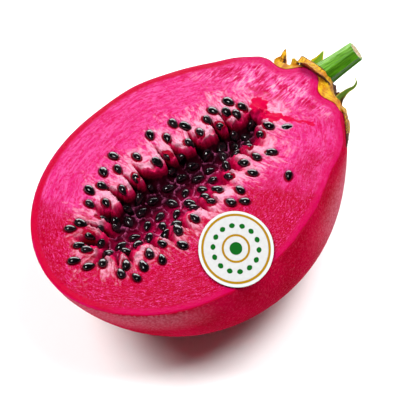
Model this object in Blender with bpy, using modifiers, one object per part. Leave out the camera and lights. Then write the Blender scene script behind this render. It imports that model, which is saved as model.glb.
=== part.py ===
# Half a prickly pear fruit, cut along its length and lying on its skin.
#
# The pieces are worked out in the fruit's own axes: u runs along the fruit to the stem,
# v runs across it and w rises from the cut face, where w is 0. The finished fruit is
# tipped a few degrees, so that it lies as a real half does, on a small flat spot.
import math
import random

import bmesh
import bpy
import numpy as np
from mathutils import Matrix, Vector

MM = 0.001
GAP = 0.3 * MM

# The fruit, an egg shape of round sections
FRUIT_LENGTH = 96.0 * MM
FRUIT_RADIUS = 34.15 * MM
BLUNT_POWER = 0.537
STEM_POWER = 0.719
AXIS_DEPTH = 1.15 * MM
LEAN_ALONG = -0.219
LEAN_ACROSS = 0.25
FRUIT_SEGMENTS = 56
FRUIT_RINGS = 38
GROWN_ROUNDNESS = 0.3

# How the half lies
PITCH = math.radians(5.0)
ROLL = math.radians(-2.8)
FLAT_SPOT_RISE = 1.0 * MM

# The seed hollow, a long oval with lobes of flesh round its edge
HOLLOW_CENTRE = Vector((-4.2 * MM, 0.5 * MM, 0.0))
HOLLOW_HALF_LENGTH = 31.0 * MM
HOLLOW_HALF_WIDTH = 7.8 * MM
HOLLOW_TAPER = 4.0 * MM
HOLLOW_DEPTH = 9.0 * MM
HOLLOW_WALL_POWER = 0.7
HOLLOW_LIP = 0.3 * MM
HOLLOW_RINGS = 12
HOLLOW_CUTTER_RISE = 2.0 * MM
OUTLINE_POINTS = 721
SHARE_STEP = 0.002
LOBES = 26
LOBE_SAMPLES = 5
LOBE_LENGTHS = (0.2, 1.6)
LOBE_REACH = 0.4
NOTCH_DEPTH = 2.4 * MM
NOTCH_SHARPNESS = 1.5

# The seeds
SEED_LENGTH = 4.0 * MM
SEED_WIDTH = 2.6 * MM
SEED_THICKNESS = 2.2 * MM
SEED_TAPER = 0.35
SEED_SPACING = 4.7 * MM
SEED_ROW_PITCH = 0.86
SEED_FLOOR_REACH = 0.86
SEED_FLOOR_DRIFT = 0.5 * MM
# Each row: its distance from the hollow, its place between the lobes, the share kept
SEED_ROWS = ((1.9 * MM, 0.5, 1.0), (6.2 * MM, 0.0, 0.9), (10.2 * MM, 0.5, 0.5))
ROW_SQUEEZE_AT_ENDS = 0.55
ROW_DRIFT_ALONG = 0.16
ROW_DRIFT_ACROSS = 0.9 * MM
ROW_TWIST = 0.4
BARE_END_SHARE = 0.035
LONE_SEED = Vector((14.3 * MM, -19.1 * MM, 0.0))
LONE_SEED_TURN = 0.7
RIM_MARGIN = 5.5 * MM
RIM_SHIFT = 2.0 * MM
SEED_LABEL_CLEARANCE = 1.25
RANDOM_SEED = 11

# The stem end, turned about the stem's axis: radius and place along the fruit
END_AXIS = Vector((0.0, -0.5 * MM, -3.0 * MM))
COLLAR_AXIS = Vector((0.0, -1.4 * MM, -3.0 * MM))
COLLAR_PINCH = 0.2
COLLAR_PINCH_RADIUS = 9.0 * MM
END_SEGMENTS = 48
END_CUTTER_LENGTH = 30.0 * MM
KNOB_TOP = 44.2 * MM
END_PROFILE = (
    (3.0 * MM, 43.8 * MM),
    (4.5 * MM, 42.5 * MM),
    (5.3 * MM, 41.0 * MM),
    (6.4 * MM, 39.5 * MM),
    (8.4 * MM, 38.8 * MM),
    (10.6 * MM, 39.2 * MM),
    (12.0 * MM, 39.3 * MM),
    (13.6 * MM, 38.7 * MM),
    (26.0 * MM, 38.7 * MM),
)
COLLAR_PROFILE = (
    (3.9 * MM, 46.2 * MM),
    (5.2 * MM, 45.4 * MM),
    (6.0 * MM, 43.6 * MM),
    (7.6 * MM, 41.9 * MM),
    (10.0 * MM, 41.2 * MM),
    (12.2 * MM, 40.6 * MM),
    (13.6 * MM, 39.0 * MM),
    (14.6 * MM, 37.6 * MM),
    (14.2 * MM, 36.8 * MM),
)
COLLAR_FACE_HEIGHT = 0.4 * MM
COLLAR_RING_START = 44.4 * MM

# The stem
STEM_ROOT = Vector((44.6 * MM, -2.1 * MM, -2.7 * MM))
STEM_TIP = Vector((55.8 * MM, -5.4 * MM, 0.4 * MM))
STEM_ROOT_RADIUS = 3.15 * MM
STEM_TIP_RADIUS = 2.65 * MM
STEM_ROOT_FLARE = 0.3 * MM
STEM_RIDGES = 9
STEM_RIDGE_HEIGHT = 0.16 * MM
STEM_CUT_SLANT = 0.32
STEM_CUT_FACING = Vector((-0.37, -0.47, 0.80))
STEM_SIDES = 45
STEM_RINGS = 7

# Bracts: spine points in mm, width and thickness in mm, and the way the flat side runs
BROWN_BRACTS = (
    (((37.4, 5.6, -2.4), (40.2, 6.0, -1.0), (42.0, 9.6, -0.4), (45.0, 10.4, 0.0)),
     7.0, 1.4, (0.3, 1, 0.2)),
    (((38.6, 3.6, -2.6), (41.8, 3.0, -1.2), (43.9, 6.3, -0.4)), 5.0, 1.3, (0, 1, 0.3)),
    (((40.0, -8.6, -3.4), (42.8, -9.0, -1.6), (43.8, -10.4, 0.0)), 4.4, 1.3, (0, 1, 0)),
    (((38.0, -13.5, -3.0), (38.8, -17.4, -5.0), (33.6, -20.6, -7.2)), 4.0, 1.2, (0.5, 0, 1)),
    (((40.6, 3.0, -9.4), (43.6, 4.2, -12.4), (47.0, 5.8, -16.0)), 6.0, 1.4, (0, 1, 0.5)),
    (((40.6, -3.6, -10.6), (44.0, -3.8, -14.0), (46.6, -3.2, -16.8)), 5.0, 1.3, (0, 1, 0.1)),
    (((40.6, -9.0, -9.6), (43.4, -10.8, -13.0), (46.8, -12.2, -16.0)), 6.0, 1.4, (0, 1, -0.8)),
)
GREEN_BRACTS = (
    ("green_bract_curled",
     ((38.8, -12.4, -4.0), (44.6, -11.4, -2.4), (49.4, -14.4, -2.4), (50.4, -9.7, -0.6)),
     3.0, 1.2, (0, 0.5, 1)),
    ("green_bract_upright",
     ((43.4, 2.2, -3.6), (47.2, 1.8, -2.6), (51.4, 3.0, -1.0)), 4.4, 1.3, (0, 1, 0.3)),
)
BRACT_SIDES = 8
BRACT_RINGS = 14

# The label, an oval lying on the cut face
LABEL_CENTRE = Vector((-10.9 * MM, -24.5 * MM, 0.0))
LABEL_LENGTH = 22.8 * MM
LABEL_WIDTH = 18.6 * MM
LABEL_THICKNESS = 0.4 * MM
LABEL_TURN = math.radians(51.8)
LABEL_SEGMENTS = 48


def egg_radius(share):
    """Radius of the fruit at a share of its length, 0 at the blunt end."""
    peak = BLUNT_POWER / (BLUNT_POWER + STEM_POWER)
    scale = peak ** BLUNT_POWER * (1 - peak) ** STEM_POWER
    return FRUIT_RADIUS * share ** BLUNT_POWER * (1 - share) ** STEM_POWER / scale


def face_half_width(u):
    """Half the width of the cut face at a place along the fruit."""
    share = u / FRUIT_LENGTH + 0.5
    if not 0.0 < share < 1.0:
        return 0.0
    return math.sqrt(max(egg_radius(share) ** 2 - AXIS_DEPTH ** 2, 0.0))


def lean(point):
    """Shift the underside a little towards the stem and towards the -v side."""
    body_depth = FRUIT_RADIUS + AXIS_DEPTH
    slide = point.z * (1 - 0.5 * (point.z / body_depth) ** 2)
    return Vector((point.x + LEAN_ALONG * slide, point.y + LEAN_ACROSS * slide, point.z))


def hollow_outline():
    """Points round the hollow's plain oval, and the share of the way round at each."""
    turn = np.linspace(0, 2 * math.pi, OUTLINE_POINTS)
    half_width = HOLLOW_HALF_WIDTH - HOLLOW_TAPER * np.cos(turn)
    oval = np.stack([HOLLOW_HALF_LENGTH * np.cos(turn), half_width * np.sin(turn)], axis=1)
    steps = np.linalg.norm(np.diff(oval, axis=0), axis=1)
    travelled = np.concatenate([[0.0], np.cumsum(steps)])
    return oval, travelled / travelled[-1]


OVAL, OVAL_SHARE = hollow_outline()


def oval_place(share):
    """Point and outward normal of the oval at a share of the way round it."""
    share = share % 1.0
    here = Vector([float(np.interp(share, OVAL_SHARE, OVAL[:, i])) for i in (0, 1)] + [0.0])
    ahead_share = (share + SHARE_STEP) % 1.0
    ahead = Vector([float(np.interp(ahead_share, OVAL_SHARE, OVAL[:, i])) for i in (0, 1)] + [0.0])
    along = (ahead - here).normalized()
    return here, Vector((along.y, -along.x, 0.0))


def hollow_edge(share, lobe_lengths):
    """Edge of the hollow, with a narrow notch between each two lobes of flesh."""
    here, outward = oval_place(share)
    phase = (share * LOBES) % 1.0
    notch = (1 - math.sin(math.pi * phase)) ** NOTCH_SHARPNESS
    length = lobe_lengths[int(share * LOBES) % LOBES]
    return here + outward * NOTCH_DEPTH * (notch - LOBE_REACH * length * (1 - notch))


def hollow_depth(reach):
    """Depth of the hollow at a share of the way from its middle to its edge."""
    return HOLLOW_DEPTH * math.sqrt(max(1 - min(reach, 1.0) ** (2 / HOLLOW_WALL_POWER), 0.0))


def label_reach(point):
    """How far a point is from the label's middle, 1 at the label's edge."""
    offset = point - LABEL_CENTRE
    along = offset.x * math.cos(LABEL_TURN) + offset.y * math.sin(LABEL_TURN)
    across = -offset.x * math.sin(LABEL_TURN) + offset.y * math.cos(LABEL_TURN)
    return math.hypot(along / (LABEL_LENGTH / 2), across / (LABEL_WIDTH / 2))


def face_seeds(draw):
    """Seeds in rows round the hollow, each pointing at it."""
    places = []
    for offset, phase, keep in SEED_ROWS:
        for index in range(LOBES):
            drift = draw.uniform(-ROW_DRIFT_ALONG, ROW_DRIFT_ALONG)
            share = (index + phase + drift) / LOBES
            here, outward = oval_place(share)
            squeeze = ROW_SQUEEZE_AT_ENDS * abs(math.cos(2 * math.pi * share)) ** 3
            wander = draw.uniform(-ROW_DRIFT_ACROSS, ROW_DRIFT_ACROSS)
            reach = offset * (1 - squeeze) + wander
            point = HOLLOW_CENTRE + here + outward * reach
            turn = math.atan2(outward.y, outward.x) + draw.uniform(-ROW_TWIST, ROW_TWIST)
            kept = draw.random() < keep
            inside = abs(point.y) < face_half_width(point.x + RIM_SHIFT) - RIM_MARGIN
            clear = abs((share + 0.5) % 1.0 - 0.5) > BARE_END_SHARE
            bare = label_reach(point) > SEED_LABEL_CLEARANCE
            if kept and inside and clear and bare:
                places.append((point, turn))
    places.append((LONE_SEED, LONE_SEED_TURN))
    return places


def hollow_seeds(draw):
    """Seeds packed over the floor and walls of the hollow."""
    places = []
    widest = HOLLOW_HALF_WIDTH + HOLLOW_TAPER / 2
    rows = int(2 * widest / SEED_SPACING)
    columns = int(2 * HOLLOW_HALF_LENGTH / SEED_SPACING)
    for row in range(-rows // 2, rows // 2 + 1):
        for column in range(-columns // 2, columns // 2 + 1):
            across = row * SEED_SPACING * SEED_ROW_PITCH
            across += draw.uniform(-SEED_FLOOR_DRIFT, SEED_FLOOR_DRIFT)
            along = (column + 0.5 * (row % 2)) * SEED_SPACING
            along += draw.uniform(-SEED_FLOOR_DRIFT, SEED_FLOOR_DRIFT)
            turn = draw.uniform(0, math.pi)
            bearing = math.atan2(across / HOLLOW_HALF_WIDTH, along / HOLLOW_HALF_LENGTH)
            half_width = HOLLOW_HALF_WIDTH - HOLLOW_TAPER * math.cos(bearing)
            reach = math.hypot(along / HOLLOW_HALF_LENGTH, across / half_width)
            if reach < SEED_FLOOR_REACH:
                floor = Vector((along, across, -hollow_depth(reach)))
                places.append((HOLLOW_CENTRE + floor, turn))
    return places


def remove_everything():
    """Start from an empty scene."""
    for item in list(bpy.data.objects):
        bpy.data.objects.remove(item, do_unlink=True)


def make_collection(name):
    """A collection in the scene."""
    collection = bpy.data.collections.new(name)
    bpy.context.scene.collection.children.link(collection)
    return collection


def make_material(name, colour, roughness):
    """A plain surface of one colour."""
    material = bpy.data.materials.new(name)
    material.use_nodes = True
    shader = material.node_tree.nodes["Principled BSDF"]
    shader.inputs["Base Color"].default_value = (*colour, 1.0)
    shader.inputs["Roughness"].default_value = roughness
    shader.inputs["Metallic"].default_value = 0.0
    return material


def make_object(name, shape, collection, material=None):
    """An object from a bmesh, which is freed."""
    shape.normal_update()
    bmesh.ops.recalc_face_normals(shape, faces=shape.faces)
    mesh = bpy.data.meshes.new(name)
    shape.to_mesh(mesh)
    shape.free()
    item = bpy.data.objects.new(name, mesh)
    collection.objects.link(item)
    if material:
        mesh.materials.append(material)
    return item


def combine(item, other, operation):
    """Cut an object with another, or join it, and hide a cutter from the render."""
    modifier = item.modifiers.new(operation.title(), "BOOLEAN")
    modifier.operation = operation
    modifier.solver = "EXACT"
    modifier.object = other
    other.hide_render = True
    other.display_type = "WIRE"


def freeze(item):
    """Replace an object's mesh by what its modifiers make of it."""
    bpy.context.view_layer.update()
    graph = bpy.context.evaluated_depsgraph_get()
    mesh = bpy.data.meshes.new_from_object(item.evaluated_get(graph))
    item.modifiers.clear()
    item.data = mesh


def bend(shape, rule):
    """Move every vertex of a bmesh by a rule."""
    for vertex in shape.verts:
        vertex.co = rule(vertex.co.copy())


def egg(name, collection, grow=0.0, material=None):
    """The whole fruit as a closed egg, made larger all round by the given amount."""
    shape = bmesh.new()
    bmesh.ops.create_uvsphere(shape, u_segments=FRUIT_SEGMENTS, v_segments=FRUIT_RINGS, radius=1)

    def place(point):
        share = min(max((1 + point.z) / 2, 0.0), 1.0)
        radius = egg_radius(share) + grow * math.sin(math.pi * share) ** GROWN_ROUNDNESS
        turn = math.atan2(point.y, point.x)
        u = (share - 0.5) * (FRUIT_LENGTH + 2 * grow)
        if math.hypot(point.x, point.y) < 1e-5:
            radius = 0.0
        return lean(Vector((u, radius * math.cos(turn), radius * math.sin(turn) - AXIS_DEPTH)))

    bend(shape, place)
    return make_object(name, shape, collection, material)


def box(name, collection, low, high):
    """A plain box between two corners."""
    shape = bmesh.new()
    bmesh.ops.create_cube(shape, size=1)
    bend(shape, lambda point: Vector([
        low[i] + (point[i] + 0.5) * (high[i] - low[i]) for i in range(3)]))
    return make_object(name, shape, collection)


def turned(name, collection, profile, axis, pinch=0.0, material=None):
    """A closed shape turned about an axis along the fruit, pinched in on its +v side."""
    mesh = bpy.data.meshes.new(name)
    points = [(radius, 0.0, place) for radius, place in profile]
    mesh.from_pydata(points, [(i, i + 1) for i in range(len(points) - 1)], [])
    item = bpy.data.objects.new(name, mesh)
    collection.objects.link(item)
    screw = item.modifiers.new("Turn", "SCREW")
    screw.steps = END_SEGMENTS
    screw.render_steps = END_SEGMENTS
    screw.use_merge_vertices = True
    screw.merge_threshold = 0.00001
    freeze(item)
    shape = bmesh.new()
    shape.from_mesh(item.data)
    bpy.data.objects.remove(item, do_unlink=True)

    def place(point):
        spread = max(math.hypot(point.x, point.y), COLLAR_PINCH_RADIUS)
        scale = 1 - pinch * max(point.x, 0.0) / spread
        return lean(Vector((point.z, point.x * scale + axis.y, point.y * scale + axis.z)))

    bend(shape, place)
    return make_object(name, shape, collection, material)


def end_cutter(name, collection, grow=0.0):
    """All that lies beyond the fruit's dimpled stem end."""
    far = KNOB_TOP + END_CUTTER_LENGTH
    wide = END_PROFILE[-1][0]
    face = [(radius + grow, place + grow) for radius, place in END_PROFILE]
    profile = [(0.0, far), (wide + grow, far)] + face[::-1] + [(0.0, KNOB_TOP + grow)]
    return turned(name, collection, profile, END_AXIS)


def hollow_cutter(collection, lobe_lengths):
    """A bowl with a lobed edge, standing a little above the cut face."""
    segments = LOBES * LOBE_SAMPLES
    shape = bmesh.new()
    bmesh.ops.create_uvsphere(
        shape, u_segments=segments, v_segments=HOLLOW_RINGS, radius=1)

    def place(point):
        share = math.atan2(point.y, point.x) / (2 * math.pi) % 1.0
        flat = min(math.hypot(point.x, point.y), 1.0)
        if point.z > 0.001:
            edge = hollow_edge(share, lobe_lengths)
            rise = Vector((0, 0, HOLLOW_LIP + HOLLOW_CUTTER_RISE * point.z))
            return HOLLOW_CENTRE + edge * flat + rise
        reach = flat ** HOLLOW_WALL_POWER
        plain, _ = oval_place(share)
        edge = plain.lerp(hollow_edge(share, lobe_lengths), reach ** 2)
        depth = Vector((0, 0, HOLLOW_LIP + (HOLLOW_DEPTH + HOLLOW_LIP) * min(point.z, 0)))
        return HOLLOW_CENTRE + edge * reach + depth

    bend(shape, place)
    return make_object("hollow_cutter", shape, collection)


def seed(index, place, turn, collection, material):
    """One seed, a small pointed oval sunk into the flesh."""
    shape = bmesh.new()
    bmesh.ops.create_icosphere(shape, subdivisions=1, radius=0.5)
    size = Vector((SEED_LENGTH, SEED_WIDTH, SEED_THICKNESS))
    spin = Matrix.Rotation(turn, 3, "Z")

    def shape_seed(point):
        narrow = 1 - SEED_TAPER * point.x
        local = Vector((point.x * size.x, point.y * size.y * narrow, point.z * size.z))
        return place + spin @ local

    bend(shape, shape_seed)
    return make_object(f"seed_{index:03d}", shape, collection, material)


def flat_spot_cutter(fruit, collection):
    """A block under the fruit whose top shaves its lowest skin flat."""
    tilt = Matrix.Rotation(-PITCH, 3, "Y") @ Matrix.Rotation(ROLL, 3, "X")
    lowest = min((tilt @ vertex.co).z for vertex in fruit.data.vertices)
    far = FRUIT_LENGTH
    block = box("flat_spot_cutter", collection, (-far, -far, -far), (far, far, 0.0))
    for vertex in block.data.vertices:
        lifted = vertex.co + Vector((0, 0, lowest + FLAT_SPOT_RISE))
        vertex.co = tilt.inverted() @ lifted
    return block


def make_fruit(parts, cutters, stem_room, draw):
    """Flesh and skin with the seed hollow, the seeds and the dimpled stem end."""
    flesh = make_material("flesh", (0.80, 0.012, 0.11), 0.35)
    black = make_material("seeds", (0.012, 0.008, 0.010), 0.2)
    fruit = egg("fruit_half", parts, material=flesh)
    far = FRUIT_LENGTH
    lobe_lengths = [draw.uniform(*LOBE_LENGTHS) for _ in range(LOBES)]
    spot = flat_spot_cutter(fruit, cutters)
    combine(fruit, box("face_cutter", cutters, (-far, -far, 0), (far, far, far)), "DIFFERENCE")
    combine(fruit, end_cutter("end_cutter", cutters), "DIFFERENCE")
    combine(fruit, hollow_cutter(cutters, lobe_lengths), "DIFFERENCE")
    combine(fruit, stem_room, "DIFFERENCE")
    combine(fruit, spot, "DIFFERENCE")
    freeze(fruit)
    seeds = make_collection("seeds")
    for index, (place, turn) in enumerate(face_seeds(draw) + hollow_seeds(draw)):
        seed(index, place, turn, seeds, black)
    joined = fruit.modifiers.new("Seeds", "BOOLEAN")
    joined.operation = "UNION"
    joined.solver = "MANIFOLD"
    joined.operand_type = "COLLECTION"
    joined.collection = seeds
    freeze(fruit)
    for item in list(seeds.objects):
        bpy.data.objects.remove(item, do_unlink=True)
    bpy.data.collections.remove(seeds)
    return fruit


def blade(name, collection, spine, width, thickness, flat, material=None):
    """A pointed leaf-like blade along a curved spine, blunt at its root."""
    shape = bmesh.new()
    bmesh.ops.create_uvsphere(
        shape, u_segments=BRACT_SIDES, v_segments=BRACT_RINGS, radius=1)
    points = [Vector(point) * MM for point in spine]

    def along(share):
        knots = [point.copy() for point in points]
        while len(knots) > 1:
            knots = [a.lerp(b, share) for a, b in zip(knots, knots[1:])]
        return knots[0]

    def place(point):
        share = (1 + point.z) / 2
        here = along(share)
        ahead = (along(min(share + 0.01, 1.0)) - along(max(share - 0.01, 0.0))).normalized()
        side = (Vector(flat) - ahead * ahead.dot(Vector(flat))).normalized()
        normal = ahead.cross(side)
        root = min(1.0, 0.35 + 2.2 * share * (1.6 - share))
        taper = root * (1 - share ** 1.4)
        ring = Vector((point.x, point.y, 0))
        ring = ring.normalized() if ring.length > 1e-4 else ring
        across = side * ring.x * taper * width * MM / 2
        through = normal * ring.y * max(taper, 0.0) ** 0.5 * thickness * MM / 2
        return here + across + through

    bend(shape, place)
    return make_object(name, shape, collection, material)


def collar_profile(grow=0.0):
    """The collar's outer shape, from the stem out to the fruit's skin."""
    inner = [(0.0, COLLAR_PROFILE[0][1] + grow)]
    outer = [(radius + grow, place + grow) for radius, place in COLLAR_PROFILE]
    return inner + outer + [(0.0, COLLAR_PROFILE[-1][1])]


def stem_shape(name, collection, grow=0.0, material=None):
    """A ridged stub, flared at its root and cut at a slant."""
    run = STEM_TIP - STEM_ROOT
    length = run.length
    shape = bmesh.new()
    bmesh.ops.create_cone(shape, cap_ends=True, segments=STEM_SIDES, radius1=1, radius2=1, depth=1)
    for ring in range(1, STEM_RINGS):
        level = ring / STEM_RINGS - 0.5
        everything = shape.verts[:] + shape.edges[:] + shape.faces[:]
        bmesh.ops.bisect_plane(shape, geom=everything, plane_co=(0, 0, level), plane_no=(0, 0, 1))
    turn = run.to_track_quat("Z", "Y").to_matrix()

    def place(point):
        share = point.z + 0.5
        bearing = math.atan2(point.y, point.x)
        ridge = STEM_RIDGE_HEIGHT * math.cos(STEM_RIDGES * bearing)
        flare = STEM_ROOT_FLARE * (1 - share) ** 3
        plain = STEM_ROOT_RADIUS + (STEM_TIP_RADIUS - STEM_ROOT_RADIUS) * share
        radius = plain + flare + ridge + grow
        ring = turn @ Vector((radius * math.cos(bearing), radius * math.sin(bearing), 0))
        slant = STEM_CUT_SLANT * ring.dot(STEM_CUT_FACING) * share ** 4
        height = share * (length + grow) - grow - slant
        return STEM_ROOT + ring + run.normalized() * height

    bend(shape, place)
    return make_object(name, shape, collection, material)


def make_collar(parts, cutters, stem_room):
    """Yellow-brown torn collar round the stem, with its dry pointed bracts."""
    ochre = make_material("calyx", (0.62, 0.33, 0.03), 0.6)
    collar = turned("calyx", parts, collar_profile(), COLLAR_AXIS, COLLAR_PINCH, ochre)
    blades = make_collection("bracts")
    for index, (spine, width, thickness, flat) in enumerate(BROWN_BRACTS):
        blade(f"bract_{index}", blades, spine, width, thickness, flat, ochre)
    joined = collar.modifiers.new("Bracts", "BOOLEAN")
    joined.operation = "UNION"
    joined.solver = "MANIFOLD"
    joined.operand_type = "COLLECTION"
    joined.collection = blades
    freeze(collar)
    for item in list(blades.objects):
        bpy.data.objects.remove(item, do_unlink=True)
    bpy.data.collections.remove(blades)
    grown = egg("grown_fruit", cutters, grow=GAP)
    combine(grown, end_cutter("grown_end", cutters, grow=GAP), "DIFFERENCE")
    wide = FRUIT_LENGTH
    face = box("collar_face", cutters,
               (0, -wide, COLLAR_FACE_HEIGHT), (COLLAR_RING_START, wide, wide))
    combine(collar, grown, "DIFFERENCE")
    combine(collar, face, "DIFFERENCE")
    combine(collar, stem_room, "DIFFERENCE")
    freeze(collar)
    return collar


def make_label(parts):
    """A thin oval of paper."""
    paper = make_material("label", (0.9, 0.9, 0.88), 0.4)
    shape = bmesh.new()
    bmesh.ops.create_cone(shape, cap_ends=True, segments=LABEL_SEGMENTS, radius1=0.5, radius2=0.5,
                          depth=1)
    spin = Matrix.Rotation(LABEL_TURN, 3, "Z")
    rise = GAP + LABEL_THICKNESS / 2

    def place(point):
        local = Vector((point.x * LABEL_LENGTH, point.y * LABEL_WIDTH, point.z * LABEL_THICKNESS))
        return LABEL_CENTRE + spin @ local + Vector((0, 0, rise))

    bend(shape, place)
    return make_object("label", shape, parts, paper)


def make_green_bracts(parts, cutters, stem_room):
    """The two fresh bracts, standing off the collar."""
    green = make_material("green_bract", (0.16, 0.36, 0.03), 0.5)
    clear = turned("grown_collar", cutters, collar_profile(GAP), COLLAR_AXIS, COLLAR_PINCH)
    made = []
    for name, spine, width, thickness, flat in GREEN_BRACTS:
        item = blade(name, parts, spine, width, thickness, flat, green)
        combine(item, clear, "DIFFERENCE")
        combine(item, stem_room, "DIFFERENCE")
        freeze(item)
        made.append(item)
    return made


def stand(items):
    """Tip the half as it lies and put the origin under the middle of its box."""
    holder = bpy.data.objects.new("fruit_frame", None)
    bpy.context.scene.collection.objects.link(holder)
    tilt = Matrix.Rotation(-PITCH, 4, "Y") @ Matrix.Rotation(ROLL, 4, "X")
    corners = [tilt @ vertex.co for item in items for vertex in item.data.vertices]
    low = Vector([min(corner[i] for corner in corners) for i in range(3)])
    high = Vector([max(corner[i] for corner in corners) for i in range(3)])
    shift = Vector((-(low.x + high.x) / 2, -(low.y + high.y) / 2, -low.z))
    holder.matrix_world = Matrix.Translation(shift) @ tilt
    for item in items:
        item.parent = holder


def shade(items):
    """Smooth shading with sharp cut edges."""
    for item in items:
        item.data.shade_smooth()
        item.data.set_sharp_from_angle(angle=math.radians(35))


def main():
    remove_everything()
    parts = make_collection("prickly_pear_half")
    cutters = make_collection("cutters")
    draw = random.Random(RANDOM_SEED)
    stem_room = stem_shape("stem_room", cutters, grow=GAP)
    items = [make_fruit(parts, cutters, stem_room, draw)]
    items.append(make_collar(parts, cutters, stem_room))
    items += make_green_bracts(parts, cutters, stem_room)
    stem = make_material("stem", (0.10, 0.30, 0.02), 0.45)
    items.append(stem_shape("stem", parts, material=stem))
    items.append(make_label(parts))
    shade(items)
    stand(items)


main()
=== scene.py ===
import math
import random

import bmesh
import bpy
import numpy as np
from mathutils import Matrix, Vector, noise


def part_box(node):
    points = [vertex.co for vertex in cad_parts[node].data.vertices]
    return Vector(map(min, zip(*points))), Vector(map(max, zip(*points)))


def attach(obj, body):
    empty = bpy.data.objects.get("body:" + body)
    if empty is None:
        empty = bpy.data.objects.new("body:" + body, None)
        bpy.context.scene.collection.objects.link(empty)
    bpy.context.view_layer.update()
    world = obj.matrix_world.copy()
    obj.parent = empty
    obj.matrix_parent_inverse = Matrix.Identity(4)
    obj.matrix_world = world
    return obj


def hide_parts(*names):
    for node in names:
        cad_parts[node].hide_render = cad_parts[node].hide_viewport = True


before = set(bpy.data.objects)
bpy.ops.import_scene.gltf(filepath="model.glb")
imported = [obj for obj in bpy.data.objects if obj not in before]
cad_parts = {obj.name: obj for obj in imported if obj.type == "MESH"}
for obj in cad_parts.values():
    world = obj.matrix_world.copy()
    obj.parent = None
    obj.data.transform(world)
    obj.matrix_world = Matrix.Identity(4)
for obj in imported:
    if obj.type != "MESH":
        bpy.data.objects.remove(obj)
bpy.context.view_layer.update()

# Looks of the halved prickly pear.
#
# Shapes are worked out in mm in the fruit's own axes, as its solids are: u runs along the
# fruit to the stem, v across it, and w rises from the cut face. to_row() places them.
# The hollow's pairs of values are for its side near the camera and for its far side.
MM = 0.001

# The fruit's measures, in mm, the same as the solids have
FRUIT_LENGTH = 96.0
FRUIT_RADIUS = 34.15
BLUNT_POWER = 0.537
STEM_POWER = 0.719
AXIS_DEPTH = 1.15
LEAN_ALONG = -0.219
LEAN_ACROSS = 0.25
PITCH = math.radians(5.0)
ROLL = math.radians(-2.8)
END_AXIS = np.array((-0.5, -3.0))
END_START = 38.5
END_BLEND_START = 33.0
END_SMOOTHING_START = 36.0
END_PROFILE = ((12.0, 39.3), (10.6, 39.2), (8.4, 38.8), (6.4, 39.5), (5.3, 41.0),
               (4.5, 42.5), (3.0, 43.8), (0.0, 44.2))

# Where the fruit is a little fuller than an egg: the side of it, the place along it and how
# far that spreads, the level and how far that spreads, and how much, in mm
SKIN_SWELLS = (
    (-1, 31.0, 6.0, 0.0, 6.0, 2.0),
    (1, 10.0, 8.0, 0.0, 12.0, 0.75),
    (1, 29.0, 4.0, 0.0, 12.0, -0.4),
    (-1, 6.0, 26.0, -15.0, 9.0, 0.9),
)

# The seed hollow and its lobes
HOLLOW_CENTRE = np.array((-4.2, 0.5))
HOLLOW_HALF_LENGTH = 31.0
HOLLOW_HALF_WIDTH = 7.8
HOLLOW_TAPER = 4.0
LIP_DROPS = (1.5, 1.9)
FLOOR_DROPS = (4.8, 3.5)
FLOOR_SPREADS = (4.0, 0.9)
OUTLINE_POINTS = 721
SHARE_STEP = 0.002
LOBES = 26
LOBE_LENGTHS = (0.2, 1.6)
LOBE_REACH = 0.4
LOBE_WARP = 0.0062
NOTCH_DEPTHS = (2.4, 5.8)
NOTCH_SHARPNESSES = (1.4, 2.3)
FAR_NOTCH_REACH = 6.5
STEM_END_INFILL = 2.2
BLUNT_END_INFILL = 1.8

# Relief of the cut face: heights and depths in mm
LOBE_SWELLS = (0.7, 1.2)
GULLY_DEPTHS = (1.5, 2.4)
MEMBRANE_HEIGHT = 0.9
MEMBRANE_WIDTH = 0.5
PULP_DIP = 0.3
SEED_DIP = 0.30
SEED_COLLAR = 0.10
FIBRE_HEIGHT = 0.28
RING_HEIGHT = 0.09
LUMP_HEIGHT = 0.10
GRAIN_HEIGHT = 0.06
PULP_GRAIN = 0.25
EDGE_KNOBS = 1.20
EDGE_GRAIN = 0.40
EDGE_DROP = 0.2

# How finely the fruit is meshed, and the slit that the rings of its face shrink to
STATIONS = 300
PROFILE_SAMPLES = 4000
SKIN_ROWS = 56
FACE_RINGS = 116
FACE_HALF_LENGTH = 47.0
FACE_HALF_WIDTH = 34.0
FAN_CENTRE = -4.0
FAN_HALF_LENGTH = 46.0
SLIT_CENTRE = (-5.0, 0.5)
SLIT_HALF_LENGTH = 23.5
SLIT_HALF_WIDTH = 0.4

# The seeds. A row is its distance outside the hollow, its phase and the share of seeds kept,
# and a single seed is its place and turn.
SEED_SIZE = (4.0, 2.6, 2.2)
SEED_SPACING = 4.7
SEED_SCALES = (0.74, 0.92)
SEED_SCALE = 0.84
HALO_SHIFT = 0.2
SEED_ROW_PITCH = 0.86
SEED_FLOOR_REACH = 0.86
SEED_FLOOR_DRIFT = 0.5
SEED_ROWS = ((1.9, 0.5, 1.0), (6.2, 0.0, 0.9), (10.2, 0.5, 0.5))
ROW_SQUEEZE_AT_ENDS = 0.55
ROW_DRIFT_ALONG = 0.16
ROW_DRIFT_ACROSS = 0.9
ROW_TWIST = 0.4
BARE_END_SHARE = 0.035
LONE_SEED = (14.3, -19.1, 0.7)
RIM_MARGIN = 5.5
RIM_SHIFT = 2.0
SEED_LABEL_CLEARANCE = 1.25
SEED_BED = 1.5
RANDOM_SEED = 11
PACKED_TRIES = 5000
PACKED_MARGIN = 0.85
PACKED_SPACING = 2.95
BURIED_SEEDS = [(25.6, -8.0, 2.4), (16.4, -10.6, 2.2)]
FACE_SEED_LIFT = 0.32
HOLLOW_SEED_LIFT = 0.55
BURIED_LIFT = -0.62
SEED_TILT = 0.3
SEED_ROLL = 0.25

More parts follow.
